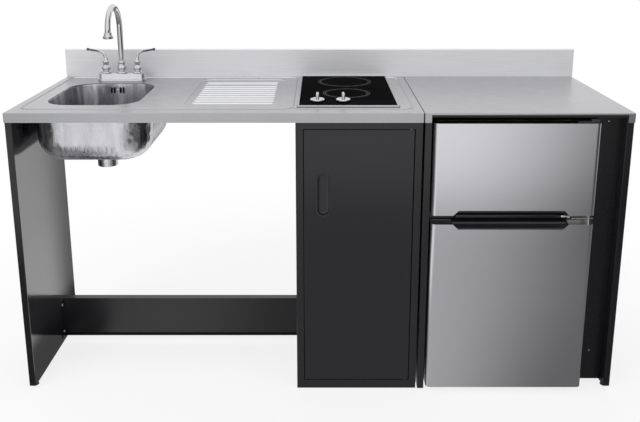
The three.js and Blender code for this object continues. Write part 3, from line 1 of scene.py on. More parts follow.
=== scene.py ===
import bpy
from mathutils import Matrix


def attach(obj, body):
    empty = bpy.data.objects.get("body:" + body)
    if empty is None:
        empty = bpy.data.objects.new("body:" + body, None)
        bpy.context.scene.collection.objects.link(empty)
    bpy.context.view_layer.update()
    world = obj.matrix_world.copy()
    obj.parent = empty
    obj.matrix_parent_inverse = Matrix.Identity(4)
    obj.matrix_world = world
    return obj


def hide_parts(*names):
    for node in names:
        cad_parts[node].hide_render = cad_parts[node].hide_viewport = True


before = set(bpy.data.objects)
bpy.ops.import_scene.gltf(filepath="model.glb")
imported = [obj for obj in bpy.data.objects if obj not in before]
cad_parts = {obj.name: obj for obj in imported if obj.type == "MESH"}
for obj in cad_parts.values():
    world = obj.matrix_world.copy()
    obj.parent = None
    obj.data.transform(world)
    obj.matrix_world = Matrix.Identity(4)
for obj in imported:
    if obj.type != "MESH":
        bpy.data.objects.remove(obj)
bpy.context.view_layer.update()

import math

import bpy
from mathutils import Matrix, Vector, noise

MM = 0.001
ROOT = "unit_frame"

# ------------------------------------------------------------------ places and sizes, in millimetres

WORKTOP_Z = 889.0
BOWL = (-699.0, -8.5)
BOWL_TOP = 887.2
BOWL_SIZE = (286.0, 355.0)
BOWL_CORNER = 78.0
BOWL_DEPTH = 160.0
SHEET = 1.2
DISH_Z = 722.2
TAP = (-697.0, 235.5)
GLASS_TOP = 895.1
DOOR_FACE_Y = -315.5

# ------------------------------------------------------------------ camera

FOCAL_PIXELS = 782.5
IMAGE_WIDTH = 640
SENSOR = 36.0
SHIFT_PIXELS = 88
CAMERA_PLACE = (1.8, -2494.5, 1389.0)
CAMERA_PITCH = 13.53

camera_data = bpy.data.cameras.new("camera")
camera_data.sensor_width = SENSOR
camera_data.lens = FOCAL_PIXELS / IMAGE_WIDTH * SENSOR
camera_data.shift_y = -SHIFT_PIXELS / IMAGE_WIDTH
camera = bpy.data.objects.new("camera", camera_data)
bpy.context.scene.collection.objects.link(camera)
camera.location = Vector(CAMERA_PLACE) * MM
camera.rotation_euler = (math.radians(90 - CAMERA_PITCH), 0, 0)
bpy.context.scene.camera = camera
bpy.context.scene.view_settings.view_transform = "Standard"

# ------------------------------------------------------------------ materials


class Nodes:
    """A small helper that adds and links shader nodes."""

    def __init__(self, tree):
        self.tree = tree
        tree.nodes.clear()

    def add(self, kind, inputs=None, **settings):
        node = self.tree.nodes.new(kind)
        for key, value in settings.items():
            setattr(node, key, value)
        for key, value in (inputs or {}).items():
            socket = node.inputs[key]
            if isinstance(value, bpy.types.NodeSocket):
                self.tree.links.new(value, socket)
            else:
                socket.default_value = value
        return node

    def math(self, operation, a, b=0.0):
        return self.add("ShaderNodeMath", {0: a, 1: b}, operation=operation).outputs[0]

    def product(self, first, *others):
        for other in others:
            first = self.math("MULTIPLY", first, other)
        return first

    def larger(self, a, b):
        return self.math("MAXIMUM", a, b)

    def split(self, vector):
        return self.add("ShaderNodeSeparateXYZ", {0: vector}).outputs

    def ramp(self, value, low, high, start=0.0, end=1.0, smooth=False):
        """Low where the value is at its start, high at its end, and between them in between."""
        node = self.add(
            "ShaderNodeMapRange",
            {"Value": value, "From Min": start, "From Max": end, "To Min": low, "To Max": high},
            interpolation_type="SMOOTHSTEP" if smooth else "LINEAR",
        )
        return node.outputs["Result"]

    def mix(self, factor, a, b):
        node = self.add("ShaderNodeMix", data_type="RGBA")
        for socket, value in ((node.inputs[0], factor), (node.inputs[6], a), (node.inputs[7], b)):
            if isinstance(value, bpy.types.NodeSocket):
                self.tree.links.new(value, socket)
            else:
                socket.default_value = value
        return node.outputs[2]

    def place(self, scale=(1, 1, 1)):
        coordinates = self.add("ShaderNodeTexCoord").outputs["Object"]
        return self.add("ShaderNodeMapping", {"Vector": coordinates, "Scale": scale}).outputs["Vector"]

    def axes(self):
        return self.split(self.place())

    def tilts(self):
        """The parts of the face's own normal along the three axes."""
        return self.split(self.add("ShaderNodeNewGeometry").outputs["True Normal"])

    def within(self, value, low, high):
        """1 where a value lies between two limits, given in millimetres."""
        over = self.math("GREATER_THAN", value, low * MM)
        return self.math("MULTIPLY", over, self.math("LESS_THAN", value, high * MM))

    def inside(self, box):
        """1 inside a box, given as two limits in millimetres for each axis in turn."""
        return self.product(*[self.within(value, *limits) for value, limits in zip(self.axes(), box)])

    def noise(self, scale, stretch=(1, 1, 1), detail=4.0, roughness=0.5):
        vector = self.place(stretch)
        inputs = {"Vector": vector, "Scale": scale, "Detail": detail, "Roughness": roughness}
        return self.add("ShaderNodeTexNoise", inputs).outputs["Fac"]


def shade(color, factor):
    return tuple(min(c * factor, 1.0) for c in color[:3]) + (1.0,)


def coat(
    nodes,
    color,
    metallic=0.0,
    roughness=0.4,
    grain=400.0,
    stretch=(1, 1, 1),
    vary=0.08,
    rough_vary=0.06,
    bump=0.0002,
    cloud=6.0,
    cloud_vary=0.06,
    cloud_stretch=(1, 1, 1),
    detail=4.0,
    **sockets,
):
    """A procedural finish: fine grain and broad clouds vary its colour and gloss, and the grain lifts it."""
    fine = nodes.noise(grain, stretch, detail)
    broad = nodes.noise(cloud, cloud_stretch, 2.0)
    tone = nodes.mix(nodes.ramp(fine, 0.0, 1.0, 0.3, 0.7), shade(color, 1 - vary), shade(color, 1 + vary))
    cloudy = nodes.ramp(broad, 1 - cloud_vary, 1 + cloud_vary, 0.3, 0.7)
    clouds = nodes.add("ShaderNodeCombineXYZ", {0: cloudy, 1: cloudy, 2: cloudy}).outputs[0]
    base = nodes.add("ShaderNodeVectorMath", {0: tone, 1: clouds}, operation="MULTIPLY").outputs[0]
    gloss = nodes.ramp(fine, roughness - rough_vary, roughness + rough_vary, 0.25, 0.75)
    inputs = {"Base Color": base, "Metallic": metallic, "Roughness": gloss}
    if bump:
        lift = nodes.add("ShaderNodeBump", {"Height": fine, "Distance": bump, "Strength": 1.0})
        inputs["Normal"] = lift.outputs["Normal"]
    inputs.update(sockets)
    return nodes.add("ShaderNodeBsdfPrincipled", inputs).outputs[0]


def material_of(name, surface):
    """A material whose surface is drawn by a function of its node helper."""
    material = bpy.data.materials.new(name)
    material.use_nodes = True
    nodes = Nodes(material.node_tree)
    nodes.add("ShaderNodeOutputMaterial", {"Surface": surface(nodes)})
    return material


def finish(name, *values, **settings):
    return material_of(name, lambda nodes: coat(nodes, *values, **settings))


def two_tone(name, first, second, mask):
    """One finish, and a second one where the mask is 1."""

    def surface(nodes):
        shaders = [coat(nodes, *values, **settings) for values, settings in (first, second)]
        return nodes.add("ShaderNodeMixShader", {0: mask(nodes), 1: shaders[0], 2: shaders[1]}).outputs[0]

    return material_of(name, surface)


# Scales that draw the grain out into lines along one axis.
ALONG_X = (0.012, 1, 1)
ALONG_Z = (1, 1, 0.02)

BRUSHED = dict(
    grain=900, stretch=ALONG_X, vary=0.05, rough_vary=0.04, bump=0.00004, cloud=3.0, cloud_vary=0.025,
)
PRESSED_FIELD = ((-880, 300), (-270, 300))
DRAINER = ((-420, -100), (-190, 130))
REAR_BEAD_Y = 150


def painted_slope_highlights(nodes):
    """The slopes of the worktop's ridges and rear bead, and less so other beads, where a lighter steel is
    painted on as a highlight where they catch the light.
    """
    tilts = nodes.tilts()
    sloping = nodes.ramp(tilts[2], 1.0, 0.0, 0.985, 0.998)
    lengthwise = nodes.ramp(nodes.math("ABSOLUTE", tilts[1]), 0.0, 1.0, 0.02, 0.05)
    at_rear = nodes.math("GREATER_THAN", nodes.axes()[1], REAR_BEAD_Y * MM)
    strong = nodes.larger(nodes.inside(DRAINER), at_rear)
    return nodes.product(sloping, nodes.inside(PRESSED_FIELD), lengthwise, nodes.ramp(strong, 0.2, 1.0))


# Brushed steel, with a lighter steel on the ridge and bead slopes as a painted highlight.
WORKTOP = two_tone(
    "worktop_brushed_painted_highlights",
    (((0.44, 0.44, 0.455), 1.0, 0.28), BRUSHED),
    (((0.86, 0.86, 0.88), 1.0, 0.24), BRUSHED),
    painted_slope_highlights,
)
SINK = finish(
    "sink_polished", (0.54, 0.54, 0.56), 1.0, 0.20, grain=300, stretch=ALONG_Z, vary=0.14, rough_vary=0.05,
    bump=0.00004, cloud=24.0, cloud_vary=0.42, cloud_stretch=(1, 1, 0.03),
)
PLATED = dict(grain=60, vary=0.02, rough_vary=0.02, bump=0.0, cloud_vary=0.03)
PLATING = ((0.66, 0.66, 0.675), 1.0, 0.06)
# A dark plating colour: a painted dark reflection on the outer parts of the tap levers.
PAINTED_DARK_REFLECTION = ((0.16, 0.16, 0.17), 1.0, 0.12)
CHROME = finish("chrome", *PLATING, **PLATED)


def painted_lever_reflection(nodes):
    """From 0 near the hub to 1 on the outer part of each tap lever, where a dark plating paints the chrome's
    dark reflection.
    """
    aside = nodes.math("ABSOLUTE", nodes.math("SUBTRACT", nodes.axes()[0], TAP[0] * MM))
    return nodes.ramp(aside, 0.0, 1.0, 0.066, 0.088, smooth=True)


LEVER = two_tone("lever_chrome_painted_reflection", (PLATING, PLATED), (PAINTED_DARK_REFLECTION, PLATED), painted_lever_reflection)
KNOB = finish(
    "knob_aluminium", (0.66, 0.66, 0.67), 1.0, 0.3, grain=700, stretch=ALONG_X, vary=0.08, bump=0.00004,
)
SPLASH = finish("splash_brushed", (0.92, 0.92, 0.94), 0.65, 0.48, **{**BRUSHED, "cloud_vary": 0.02})
BLACK = (0.0095, 0.0088, 0.0110)
BLACK_PAINT = finish(
    "black_paint", BLACK, 0.0, 0.26, grain=700, vary=0.15, rough_vary=0.04, bump=0.00004, cloud=5.0,
    cloud_vary=0.1, IOR=1.48,
)
BOARD = dict(grain=500, vary=0.15, rough_vary=0.03, bump=0.00002, cloud=4.0, cloud_vary=0.1, IOR=1.48)
BLACK_BOARD = finish("black_board", BLACK, 0.0, 0.17, **BOARD)


def facing_right(nodes):
    return nodes.math("GREATER_THAN", nodes.tilts()[0], 0.9)


# The leg's inner face mirrors the bright floor, more than a plain board would.
LEG_BOARD = two_tone(
    "leg_board", ((BLACK, 0.0, 0.17), BOARD), ((BLACK, 0.0, 0.13), {**BOARD, "IOR": 2.5}), facing_right,
)
CHIPS = dict(grain=260, stretch=(0.4, 0.4, 1), vary=0.45, rough_vary=0.08, bump=0.0006, detail=6.0)


def facing_front(nodes):
    return nodes.math("LESS_THAN", nodes.tilts()[1], -0.7)


# Chipboard, with its front edge near black: painted shade for the dark gap under the worktop's edge.
RAW_BOARD = ((0.12, 0.10, 0.08), 0.0, 0.85)
SHADOW_GAP_EDGE = ((0.008, 0.008, 0.008), 0.0, 0.6)
CORE = two_tone("board_core", (RAW_BOARD, CHIPS), (SHADOW_GAP_EDGE, CHIPS), facing_front)
FOIL = finish(
    "foil", (0.66, 0.66, 0.69), 1.0, 0.30, grain=110, stretch=(1, 1, 0.16), vary=0.08, rough_vary=0.1,
    bump=0.0009, cloud=26.0, cloud_vary=0.12, cloud_stretch=(1, 1, 0.3),
)
GLASS_BLACK = finish(
    "hob_glass_black", (0.002, 0.002, 0.0024), 0.0, 0.05, grain=900, vary=0.3, rough_vary=0.015, bump=0.0,
    cloud_vary=0.1, **{"IOR": 1.005, "Coat Weight": 0.012, "Coat Roughness": 0.03},
)
TRAY = finish(
    "tray_zinc", (0.55, 0.56, 0.57), 1.0, 0.4, grain=45, vary=0.14, rough_vary=0.1, bump=0.0, detail=1.0,
)
ELEMENT = finish("element", (0.10, 0.10, 0.10), 0.0, 0.8, grain=300, vary=0.3, bump=0.0004)
SILVER = (
    ((0.68, 0.675, 0.705), 1.0, 0.19),
    dict(grain=2200, stretch=ALONG_X, vary=0.012, rough_vary=0.015, bump=0.0, cloud=2.5, cloud_vary=0.012),
)
LINER = (
    ((0.74, 0.75, 0.76), 0.0, 0.32),
    dict(grain=500, vary=0.02, rough_vary=0.05, bump=0.00006, cloud_vary=0.02),
)
DOOR_SKIN_DEPTH = 43
COMPARTMENTS = ((368.0, 776.6), (-264.3, 168.5), (50, 830))
COMPRESSOR_STEP_Y = 60
COMPRESSOR_STEP_Z = 212


def behind_door(nodes):
    return nodes.math("GREATER_THAN", nodes.axes()[1], (DOOR_FACE_Y + DOOR_SKIN_DEPTH) * MM)


DOOR = two_tone("door_silver", SILVER, LINER, behind_door)
DOOR_LINER = finish("door_liner", *LINER[0], **LINER[1])


def in_compartments(nodes):
    """1 on the walls inside, which leave out the step over the compressor."""
    _, y, z = nodes.axes()
    before_step = nodes.math("LESS_THAN", y, COMPRESSOR_STEP_Y * MM)
    over_step = nodes.math("GREATER_THAN", z, COMPRESSOR_STEP_Z * MM)
    return nodes.product(nodes.inside(COMPARTMENTS), nodes.larger(before_step, over_step))


FRIDGE_BODY = two_tone(
    "fridge_body",
    ((BLACK, 0.0, 0.3), dict(grain=700, vary=0.15, rough_vary=0.04, bump=0.00006, cloud=5.0, cloud_vary=0.1)),
    LINER,
    in_compartments,
)
BLACK_PLASTIC = finish(
    "black_plastic", (0.016, 0.016, 0.019), 0.0, 0.3, grain=1500, vary=0.15, rough_vary=0.06, bump=0.00012,
)
WHITE_PLASTIC = finish("white_plastic", (0.78, 0.79, 0.80), 0.0, 0.35, grain=800, vary=0.03, bump=0.00004)
RUBBER = finish("rubber", (0.020, 0.020, 0.021), 0.0, 0.75, grain=900, vary=0.2, bump=0.0002)
ZINC = finish("zinc_steel", (0.62, 0.62, 0.60), 1.0, 0.32, grain=90, vary=0.1, rough_vary=0.1, bump=0.00005)
DARK_STEEL = finish("dark_steel", (0.05, 0.05, 0.053), 0.3, 0.45, grain=500, vary=0.15, bump=0.0002)
COPPER = finish("copper", (0.55, 0.25, 0.14), 1.0, 0.3, grain=200, vary=0.12, bump=0.0001)
MARKS = finish(
    "zone_marks", (0.016, 0.016, 0.017), 0.0, 0.4, grain=2500, vary=0.25, rough_vary=0.06, bump=0.0,
)
CLEAR = finish(
    "clear_plastic", (0.86, 0.90, 0.92), 0.0, 0.12, grain=60, vary=0.02, rough_vary=0.04, bump=0.0,
    **{"Transmission Weight": 0.85, "IOR": 1.45},
)
SHELF_GLASS = finish(
    "shelf_glass", (0.84, 0.93, 0.91), 0.0, 0.05, grain=60, vary=0.02, rough_vary=0.02, bump=0.0,
    **{"Transmission Weight": 0.92, "IOR": 1.5},
)

CAD_FINISH = {
    WORKTOP: "worktop_left worktop_right hob_trim",
    SPLASH: "backsplash",
    SINK: "sink_bowl strainer_body strainer_basket",
    CHROME: "faucet_base faucet_spout faucet_aerator faucet_handle_left faucet_handle_right",
    KNOB: "hob_knob_left hob_knob_right",
    BLACK_PAINT: "stretcher_rail cabinet_shell cabinet_back cabinet_shelf filler_strip",
    FRIDGE_BODY: "fridge_cabinet",
    LEG_BOARD: "leg_panel",
    BLACK_BOARD: "end_panel_left end_panel_right cabinet_door",
    CORE: "worktop_board_left worktop_board_right",
    FOIL: "bowl_foil_wrap drain_foil_sleeve",
    GLASS_BLACK: "hob_glass",
    TRAY: "hob_burner_box",
    ELEMENT: "hob_element_rear hob_element_front",
    DOOR: "freezer_door fridge_door",
    BLACK_PLASTIC: "cabinet_door_pull freezer_door_grip fridge_door_grip fridge_hinge_top fridge_foot_left "
    "fridge_foot_right overflow_pipe",
    WHITE_PLASTIC: "thermostat_dial",
    CLEAR: "freezer_door_rack fridge_door_rack_lower fridge_door_rack_upper salad_drawer",
    SHELF_GLASS: "fridge_shelf",
    RUBBER: "freezer_gasket fridge_gasket",
    ZINC: "strainer_locknut cabinet_pin_lower cabinet_pin_upper fridge_hinge_middle fridge_hinge_bottom",
    DARK_STEEL: "compressor condenser_coil leg_foot_front leg_foot_rear end_foot_front end_foot_rear",
}

SMOOTH_ANGLE = math.radians(32)


def smooth(mesh, angle=SMOOTH_ANGLE):
    mesh.shade_smooth()
    mesh.set_sharp_from_angle(angle=angle)


for material, names in CAD_FINISH.items():
    for name in names.split():
        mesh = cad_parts[name].data
        mesh.materials.clear()
        mesh.materials.append(material)
        smooth(mesh)

SOFT_EDGES = {
    0.5: "leg_panel end_panel_left end_panel_right cabinet_door worktop_board_left worktop_board_right",
    0.6: "stretcher_rail cabinet_shell cabinet_shelf filler_strip backsplash fridge_shelf salad_drawer",
    1.2: "fridge_cabinet freezer_door fridge_door",
}
for width, names in SOFT_EDGES.items():
    for name in names.split():
        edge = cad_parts[name].modifiers.new("soft_edges", "BEVEL")
        edge.width = width * MM
        edge.segments = 2
        edge.limit_method = "ANGLE"
        edge.angle_limit = math.radians(40)
        edge.harden_normals = True

# ------------------------------------------------------------------ mesh helpers, in millimetres


class Shape:
    """Vertices in millimetres and faces, to be joined with others into one piece."""

    def __init__(self, points=(), faces=()):
        self.points = [Vector(p) for p in points]
        self.faces = [tuple(f) for f in faces]

    def add(self, other):
        start = len(self.points)
        self.points += other.points
        self.faces += [tuple(i + start for i in f) for f in other.faces]
        return self

    def moved(self, x=0.0, y=0.0, z=0.0):
        return Shape([p + Vector((x, y, z)) for p in self.points], self.faces)

    def turned(self, angle, axis="Z"):
        turn = Matrix.Rotation(math.radians(angle), 3, axis)
        return Shape([turn @ p for p in self.points], self.faces)


def merged(*shapes):
    whole = Shape()
    for shape in shapes:
        whole.add(shape)
    return whole


def loft(rings, looped=False):
    """A skin over rings of equal count, with both ends closed, or with the last ring joined to the first."""
    count = len(rings[0])
    points = [p for ring in rings for p in ring]
    faces = []
    spans = len(rings) if looped else len(rings) - 1
    for r in range(spans):
        low, high = r * count, (r + 1) % len(rings) * count
        for i in range(count):
            j = (i + 1) % count
            faces.append((low + i, low + j, high + j, high + i))
    if not looped:
        faces.append(tuple(reversed(range(count))))
        faces.append(tuple(range(len(points) - count, len(points))))
    return Shape(points, faces)


def circle_ring(radius, z, steps=64, x=0.0, y=0.0):
    angles = [2 * math.pi * i / steps for i in range(steps)]
    return [Vector((x + radius * math.cos(a), y + radius * math.sin(a), z)) for a in angles]


def rounded_ring(x, y, half_x, half_y, radius, z, steps=12):
    ring = []
    for quarter in range(4):
        sign_x = 1 if quarter in (0, 3) else -1
        sign_y = 1 if quarter < 2 else -1
        for i in range(steps + 1):
            angle = math.pi / 2 * (quarter + i / steps)
            ring.append(
                Vector((
                    x + sign_x * (half_x - radius) + radius * math.cos(angle),
                    y + sign_y * (half_y - radius) + radius * math.sin(angle),
                    z,
                ))
            )
    return ring


def eased(points, radius, steps=4, closed=False):
    """A line through points in the plane, with each corner rounded."""
    corners = [Vector(p) for p in points]
    count = len(corners)
    line = []
    for i, corner in enumerate(corners):
        if not closed and i in (0, count - 1):
            line.append(corner)
            continue
        before, after = corners[i - 1], corners[(i + 1) % count]
        reach_in = min(radius, (before - corner).length * 0.45)
        reach_out = min(radius, (after - corner).length * 0.45)
        start = corner + (before - corner).normalized() * reach_in
        end = corner + (after - corner).normalized() * reach_out
        for k in range(steps + 1):
            t = k / steps
            line.append(start * (1 - t) ** 2 + corner * 2 * t * (1 - t) + end * t * t)
    return line


# A profile's point on the axis becomes a ring this small, so that each face stays whole.
LEAST_RADIUS = 0.05


def revolve(profile, steps=64, ease=0.0, closed=False):
    """A profile of (radius, height) points turned about Z. A closed profile makes a ring."""
    line = eased(profile, ease, closed=closed) if ease else [Vector(p) for p in profile]
    rings = [circle_ring(max(p.x, LEAST_RADIUS), p.y, steps) for p in line]
    return loft(rings, looped=closed)


def frames_along(path):
    """Points of a path with two directions across it, carried along without twist."""
    out = []
    tangents = []
    for i in range(len(path)):
        ahead = path[min(i + 1, len(path) - 1)] - path[max(i - 1, 0)]
        tangents.append(ahead.normalized())
    side = tangents[0].orthogonal().normalized()
    for point, tangent in zip(path, tangents):
        side = (side - tangent * side.dot(tangent)).normalized()
        out.append((point, side, tangent.cross(side)))
    return out


def tube(path, radius, sides=20):
    """A round tube with closed ends. The radius is a number, or a function of the place from 0 to 1."""
    rings = []
    last = len(path) - 1
    for i, (point, side, up) in enumerate(frames_along([Vector(p) for p in path])):
        size = radius(i / last) if callable(radius) else radius
        angles = [2 * math.pi * k / sides for k in range(sides)]
        rings.append([point + (side * math.cos(a) + up * math.sin(a)) * size for a in angles])
    return loft(rings)


def bezier(points, steps):
    """Points along a Bezier curve of any degree."""
    line = []
    degree = len(points) - 1
    for k in range(steps + 1):
        t = k / steps
        total = Vector((0, 0, 0))
        for i, point in enumerate(points):
            total += Vector(point) * math.comb(degree, i) * t**i * (1 - t) ** (degree - i)
        line.append(total)
    return line


def block(x0, x1, y0, y1, z0, z1, edge=0.6):
    """A box with all edges rounded a little."""
    x, y, half_x, half_y = (x0 + x1) / 2, (y0 + y1) / 2, (x1 - x0) / 2, (y1 - y0) / 2
    rings = []
    for inset, z in ((edge, z0), (0, z0 + edge), (0, z1 - edge), (edge, z1)):
        rings.append(rounded_ring(x, y, half_x - inset, half_y - inset, max(edge - inset * 0.5, 0.05), z, 2))
    return loft(rings)


def object_from(name, shape):
    mesh = bpy.data.meshes.new(name)
    mesh.from_pydata([p * MM for p in shape.points], [], shape.faces)
    thing = bpy.data.objects.new(name, mesh)
    bpy.context.scene.collection.objects.link(thing)
    return thing


def piece(name, shape, material, body=ROOT, stands_for=(), angle=SMOOTH_ANGLE):
    """A new piece of the model, which rides on a body and may stand for CAD nodes."""
    thing = object_from(name, shape)
    thing.data.validate()
    thing.data.materials.append(material)
    smooth(thing.data, angle)
    if stands_for:
        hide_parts(*stands_for)
    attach(thing, body)
    return thing


# ------------------------------------------------------------------ mixer tap


def tap_piece(name, shape, body=ROOT, stands_for=(), x=0.0, z=0.0, material=CHROME):
    return piece(name, shape.moved(TAP[0] + x, TAP[1], WORKTOP_Z + z), material, body, stands_for)


VALVES = ((-1, "left"), (1, "right"))
VALVE_X = 55
# Each level of the plate: how far it draws in, and its height.
PLATE = [
    (0, 0.3), (0, 4.6), (0.8, 6.1), (2.6, 7), (3.2, 8.2), (3.5, 23.4), (4.6, 25.6), (7, 26.8), (10, 27.1),
]
PLATE_SIZE = (86, 28)
PLATE_CORNER = 27.8
VALVE = [
    (0, 26), (19, 26), (19.4, 28.6), (17.6, 31), (13, 33.2), (12, 35), (13, 37.2), (15.6, 40.4),
    (16.6, 43.6), (15.6, 46.8), (12.2, 50.6), (10, 53), (10, 56), (6, 56), (6, 68), (0, 68),
]
POST = [
    (8.5, 26), (21, 26), (21.4, 28.6), (19.6, 31.4), (15, 33.8), (14, 35.6), (15, 38), (17.6, 41.2),
    (18.6, 44.4), (17.6, 47.6), (14.6, 52.6), (13.4, 55), (13.4, 58.6), (12.6, 60), (8.5, 60),
]
THREAD_PITCH = 2.0
SHANK = [(0, 20)]
for k in range(27):
    SHANK += [(10.0, 19 - k * THREAD_PITCH), (9.2, 18 - k * THREAD_PITCH)]
SHANK.append((0, -34))
half_x, half_y = PLATE_SIZE
base = loft([rounded_ring(0, 0, half_x - i, half_y - i, PLATE_CORNER - i, z, 16) for i, z in PLATE])
for side, _ in VALVES:
    base.add(revolve(VALVE, 56, 1.2).moved(side * VALVE_X))
    base.add(revolve(SHANK, 40).moved(side * VALVE_X))
base.add(revolve(POST, 56, 1.2, closed=True))
tap_piece("tap_base", base, stands_for=["faucet_base"])

WASHER = [(11, -22), (20, -22), (20, -20.2), (11, -20.2)]
NUT = [(10.4, -30), (18, -30), (18.5, -29), (18.5, -23.5), (18, -22.4), (10.4, -22.4)]
for side, tag in VALVES:
    nut = merged(revolve(NUT, 6, closed=True), revolve(WASHER, 48, closed=True))
    tap_piece(f"tap_nut_{tag}", nut, x=side * VALVE_X, material=ZINC)

# The spout stands on the post, rises, and turns over in two quarter circles to the front.
SPOUT_FOOT = 60.3
SPOUT_RISE = 186.5
SPOUT_TOP = 264
SPOUT_BEND = 77.5
SPOUT_REACH = 2 * SPOUT_BEND
QUARTER = SPOUT_BEND * 4 / 3 * math.tan(math.pi / 8)
RISING_QUARTER = [
    (0, 0, SPOUT_RISE), (0, 0, SPOUT_RISE + QUARTER), (0, QUARTER - SPOUT_BEND, SPOUT_TOP),
    (0, -SPOUT_BEND, SPOUT_TOP),
]
FALLING_QUARTER = [
    (0, -SPOUT_BEND, SPOUT_TOP), (0, -SPOUT_BEND - QUARTER, SPOUT_TOP),
    (0, -SPOUT_REACH, SPOUT_RISE + QUARTER), (0, -SPOUT_REACH, SPOUT_RISE),
]
path = [Vector((0, 0, SPOUT_FOOT + (SPOUT_RISE - SPOUT_FOOT) * k / 8)) for k in range(8)]
path += bezier(RISING_QUARTER, 22)[:-1] + bezier(FALLING_QUARTER, 22)
path.append(Vector((0, -SPOUT_REACH, 176)))
COLLAR = [(0, SPOUT_FOOT), (13, SPOUT_FOOT), (14, 64), (10.5, 70), (0, 70)]
PLUG = [(0, 33), (7.4, 33), (7.4, 61), (0, 61)]
spout = merged(tube(path, 9.5, 32), revolve(COLLAR, 56, 1.5), revolve(PLUG, 32))
tap_piece("tap_spout", spout, "spout_body", ["faucet_spout"])

AERATOR = [
    (11.5, 0), (15.5, 0), (16.5, 2), (16.5, 8), (15, 10.5), (13.5, 13), (12.5, 20), (11.5, 21), (10.1, 21),
    (10.1, 9.7), (11.5, 7.7),
]
aerator = revolve(AERATOR, 56, 0.8, closed=True)
tap_piece("tap_aerator", aerator.moved(0, -SPOUT_REACH, 166), "spout_body", ["faucet_aerator"])
MESH_RADIUS = 11.2
MESH_PITCH = 2.4
WIRE = 0.45
screen = Shape()
for k in range(-4, 5):
    at = k * MESH_PITCH
    half = math.sqrt(MESH_RADIUS**2 - at**2)
    screen.add(tube([(at, -half, 0), (at, half, 0)], WIRE, 6))
    screen.add(tube([(-half, at, 0.7), (half, at, 0.7)], WIRE, 6))
screen = screen.moved(0, -SPOUT_REACH, 168)
tap_piece("tap_screen", screen, "spout_body", material=ZINC)

HUB = [
    (0, 12.5), (6.5, 12.5), (6.5, 0), (9, 0), (9.2, 3.6), (12.2, 6.4), (13, 9), (12.2, 11.6), (9, 14),
    (8, 16.4), (7, 21), (6.4, 25), (3, 26), (0, 26),
]
LEVER_END = (60.5, 53)
LEVER_PATH = [(0, 17), (3.3, 47), (16.5, 45), LEVER_END]
LEVER_BALL = [(0, -5.4), (3.4, -4.7), (5.2, -1.8), (5.2, 1.8), (3.4, 4.7), (0, 5.4)]
LEVER_Z = 56.3


def lever_radius(t):
    return max(5.4 - 4.2 * t, 3.9 - 0.3 * t)


for side, tag in VALVES:
    lever = revolve(HUB, 56, 1.0)
    lever.add(tube(bezier([(side * x, 0, z) for x, z in LEVER_PATH], 44), lever_radius, 24))
    lever.add(revolve(LEVER_BALL, 32, 1.6).moved(side * LEVER_END[0], 0, LEVER_END[1]))
    tap_piece(
        f"tap_lever_{tag}", lever, f"handle_{tag}_body", [f"faucet_handle_{tag}"],
        side * VALVE_X, LEVER_Z, LEVER,
    )

# ------------------------------------------------------------------ sink

RIM_RADIUS = 4
WALL_DRAFT = 8
FLOOR_FILLET = 45
DRAIN_DISH = ((52, 1.7), (49, 2), (47, 3.4), (46, 5))
DRAIN_HOLE = (29.6, 5)


def around_bowl(inset, corner, z, steps=18, size=BOWL_SIZE):
    return rounded_ring(*BOWL, size[0] / 2 - inset, size[1] / 2 - inset, corner, z, steps)


def bowl_rings(grow):
    """The bowl's skin, moved out by its sheet's thickness for the outside."""
    rings = []

    def wall(inset, drop):
        rings.append(around_bowl(inset, BOWL_CORNER - inset, BOWL_TOP - drop))

    def floor(radius, drop):
        count = len(rings[0])
        angles = [2 * math.pi * (i + 0.5) / count for i in range(count)]
        middle = Vector((*BOWL, BOWL_TOP - BOWL_DEPTH - drop - grow))
        rings.append([middle + Vector((radius * math.cos(a), radius * math.sin(a), 0)) for a in angles])

    wall(-14, grow)
    for k in range(7):
        turn = math.pi / 2 * k / 6
        radius = RIM_RADIUS - grow
        wall(radius * math.sin(turn) - RIM_RADIUS, RIM_RADIUS - radius * math.cos(turn))
    for k in range(11):
        turn = math.pi / 2 * k / 10
        radius = FLOOR_FILLET + grow
        inset = WALL_DRAFT + FLOOR_FILLET - radius * math.cos(turn)
        wall(inset, BOWL_DEPTH - FLOOR_FILLET + radius * math.sin(turn))
    for radius, drop in DRAIN_DISH:
        floor(radius + grow, drop)
    floor(*DRAIN_HOLE)
    return rings


def cut(thing, shape, operation="DIFFERENCE"):
    """Cuts a mesh object with a shape, for good."""
    cutter = object_from("cutter", shape)
    change = thing.modifiers.new("cut", "BOOLEAN")
    change.object = cutter
    change.operation = operation
    change.solver = "EXACT"
    done = bpy.data.meshes.new_from_object(thing.evaluated_get(bpy.context.evaluated_depsgraph_get()))
    thing.modifiers.clear()
    thing.data = done
    bpy.data.objects.remove(cutter)


OVERFLOW_Z = 865
OVERFLOW_SLOT = (7.5, 20)
OVERFLOW_PITCH = 10.3


def overflow_slot(x):
    """A tall slot with round ends, through the bowl's back wall."""
    half_x, half_z = OVERFLOW_SLOT[0] / 2, OVERFLOW_SLOT[1] / 2
    ring = rounded_ring(x, OVERFLOW_Z, half_x, half_z, half_x - 0.2, 0, 8)
    return loft([[Vector((p.x, y, p.y)) for p in ring] for y in (176, 160)])


bowl_shape = loft(bowl_rings(0) + bowl_rings(SHEET)[::-1], looped=True)
bowl = piece("bowl", bowl_shape, SINK, stands_for=["sink_bowl"])
cut(bowl, merged(*[overflow_slot(BOWL[0] + k * OVERFLOW_PITCH) for k in (-2, -1, 1, 2)]))
smooth(bowl.data)

screw = revolve([(0, 0), (4.2, 0), (4.2, 0.8), (2.6, 2.0), (0, 2.3)], 32, 0.5).turned(90, "X")
piece("overflow_screw", screw.moved(BOWL[0], 168.6, OVERFLOW_Z), CHROME)

# ------------------------------------------------------------------ foil round the bowl

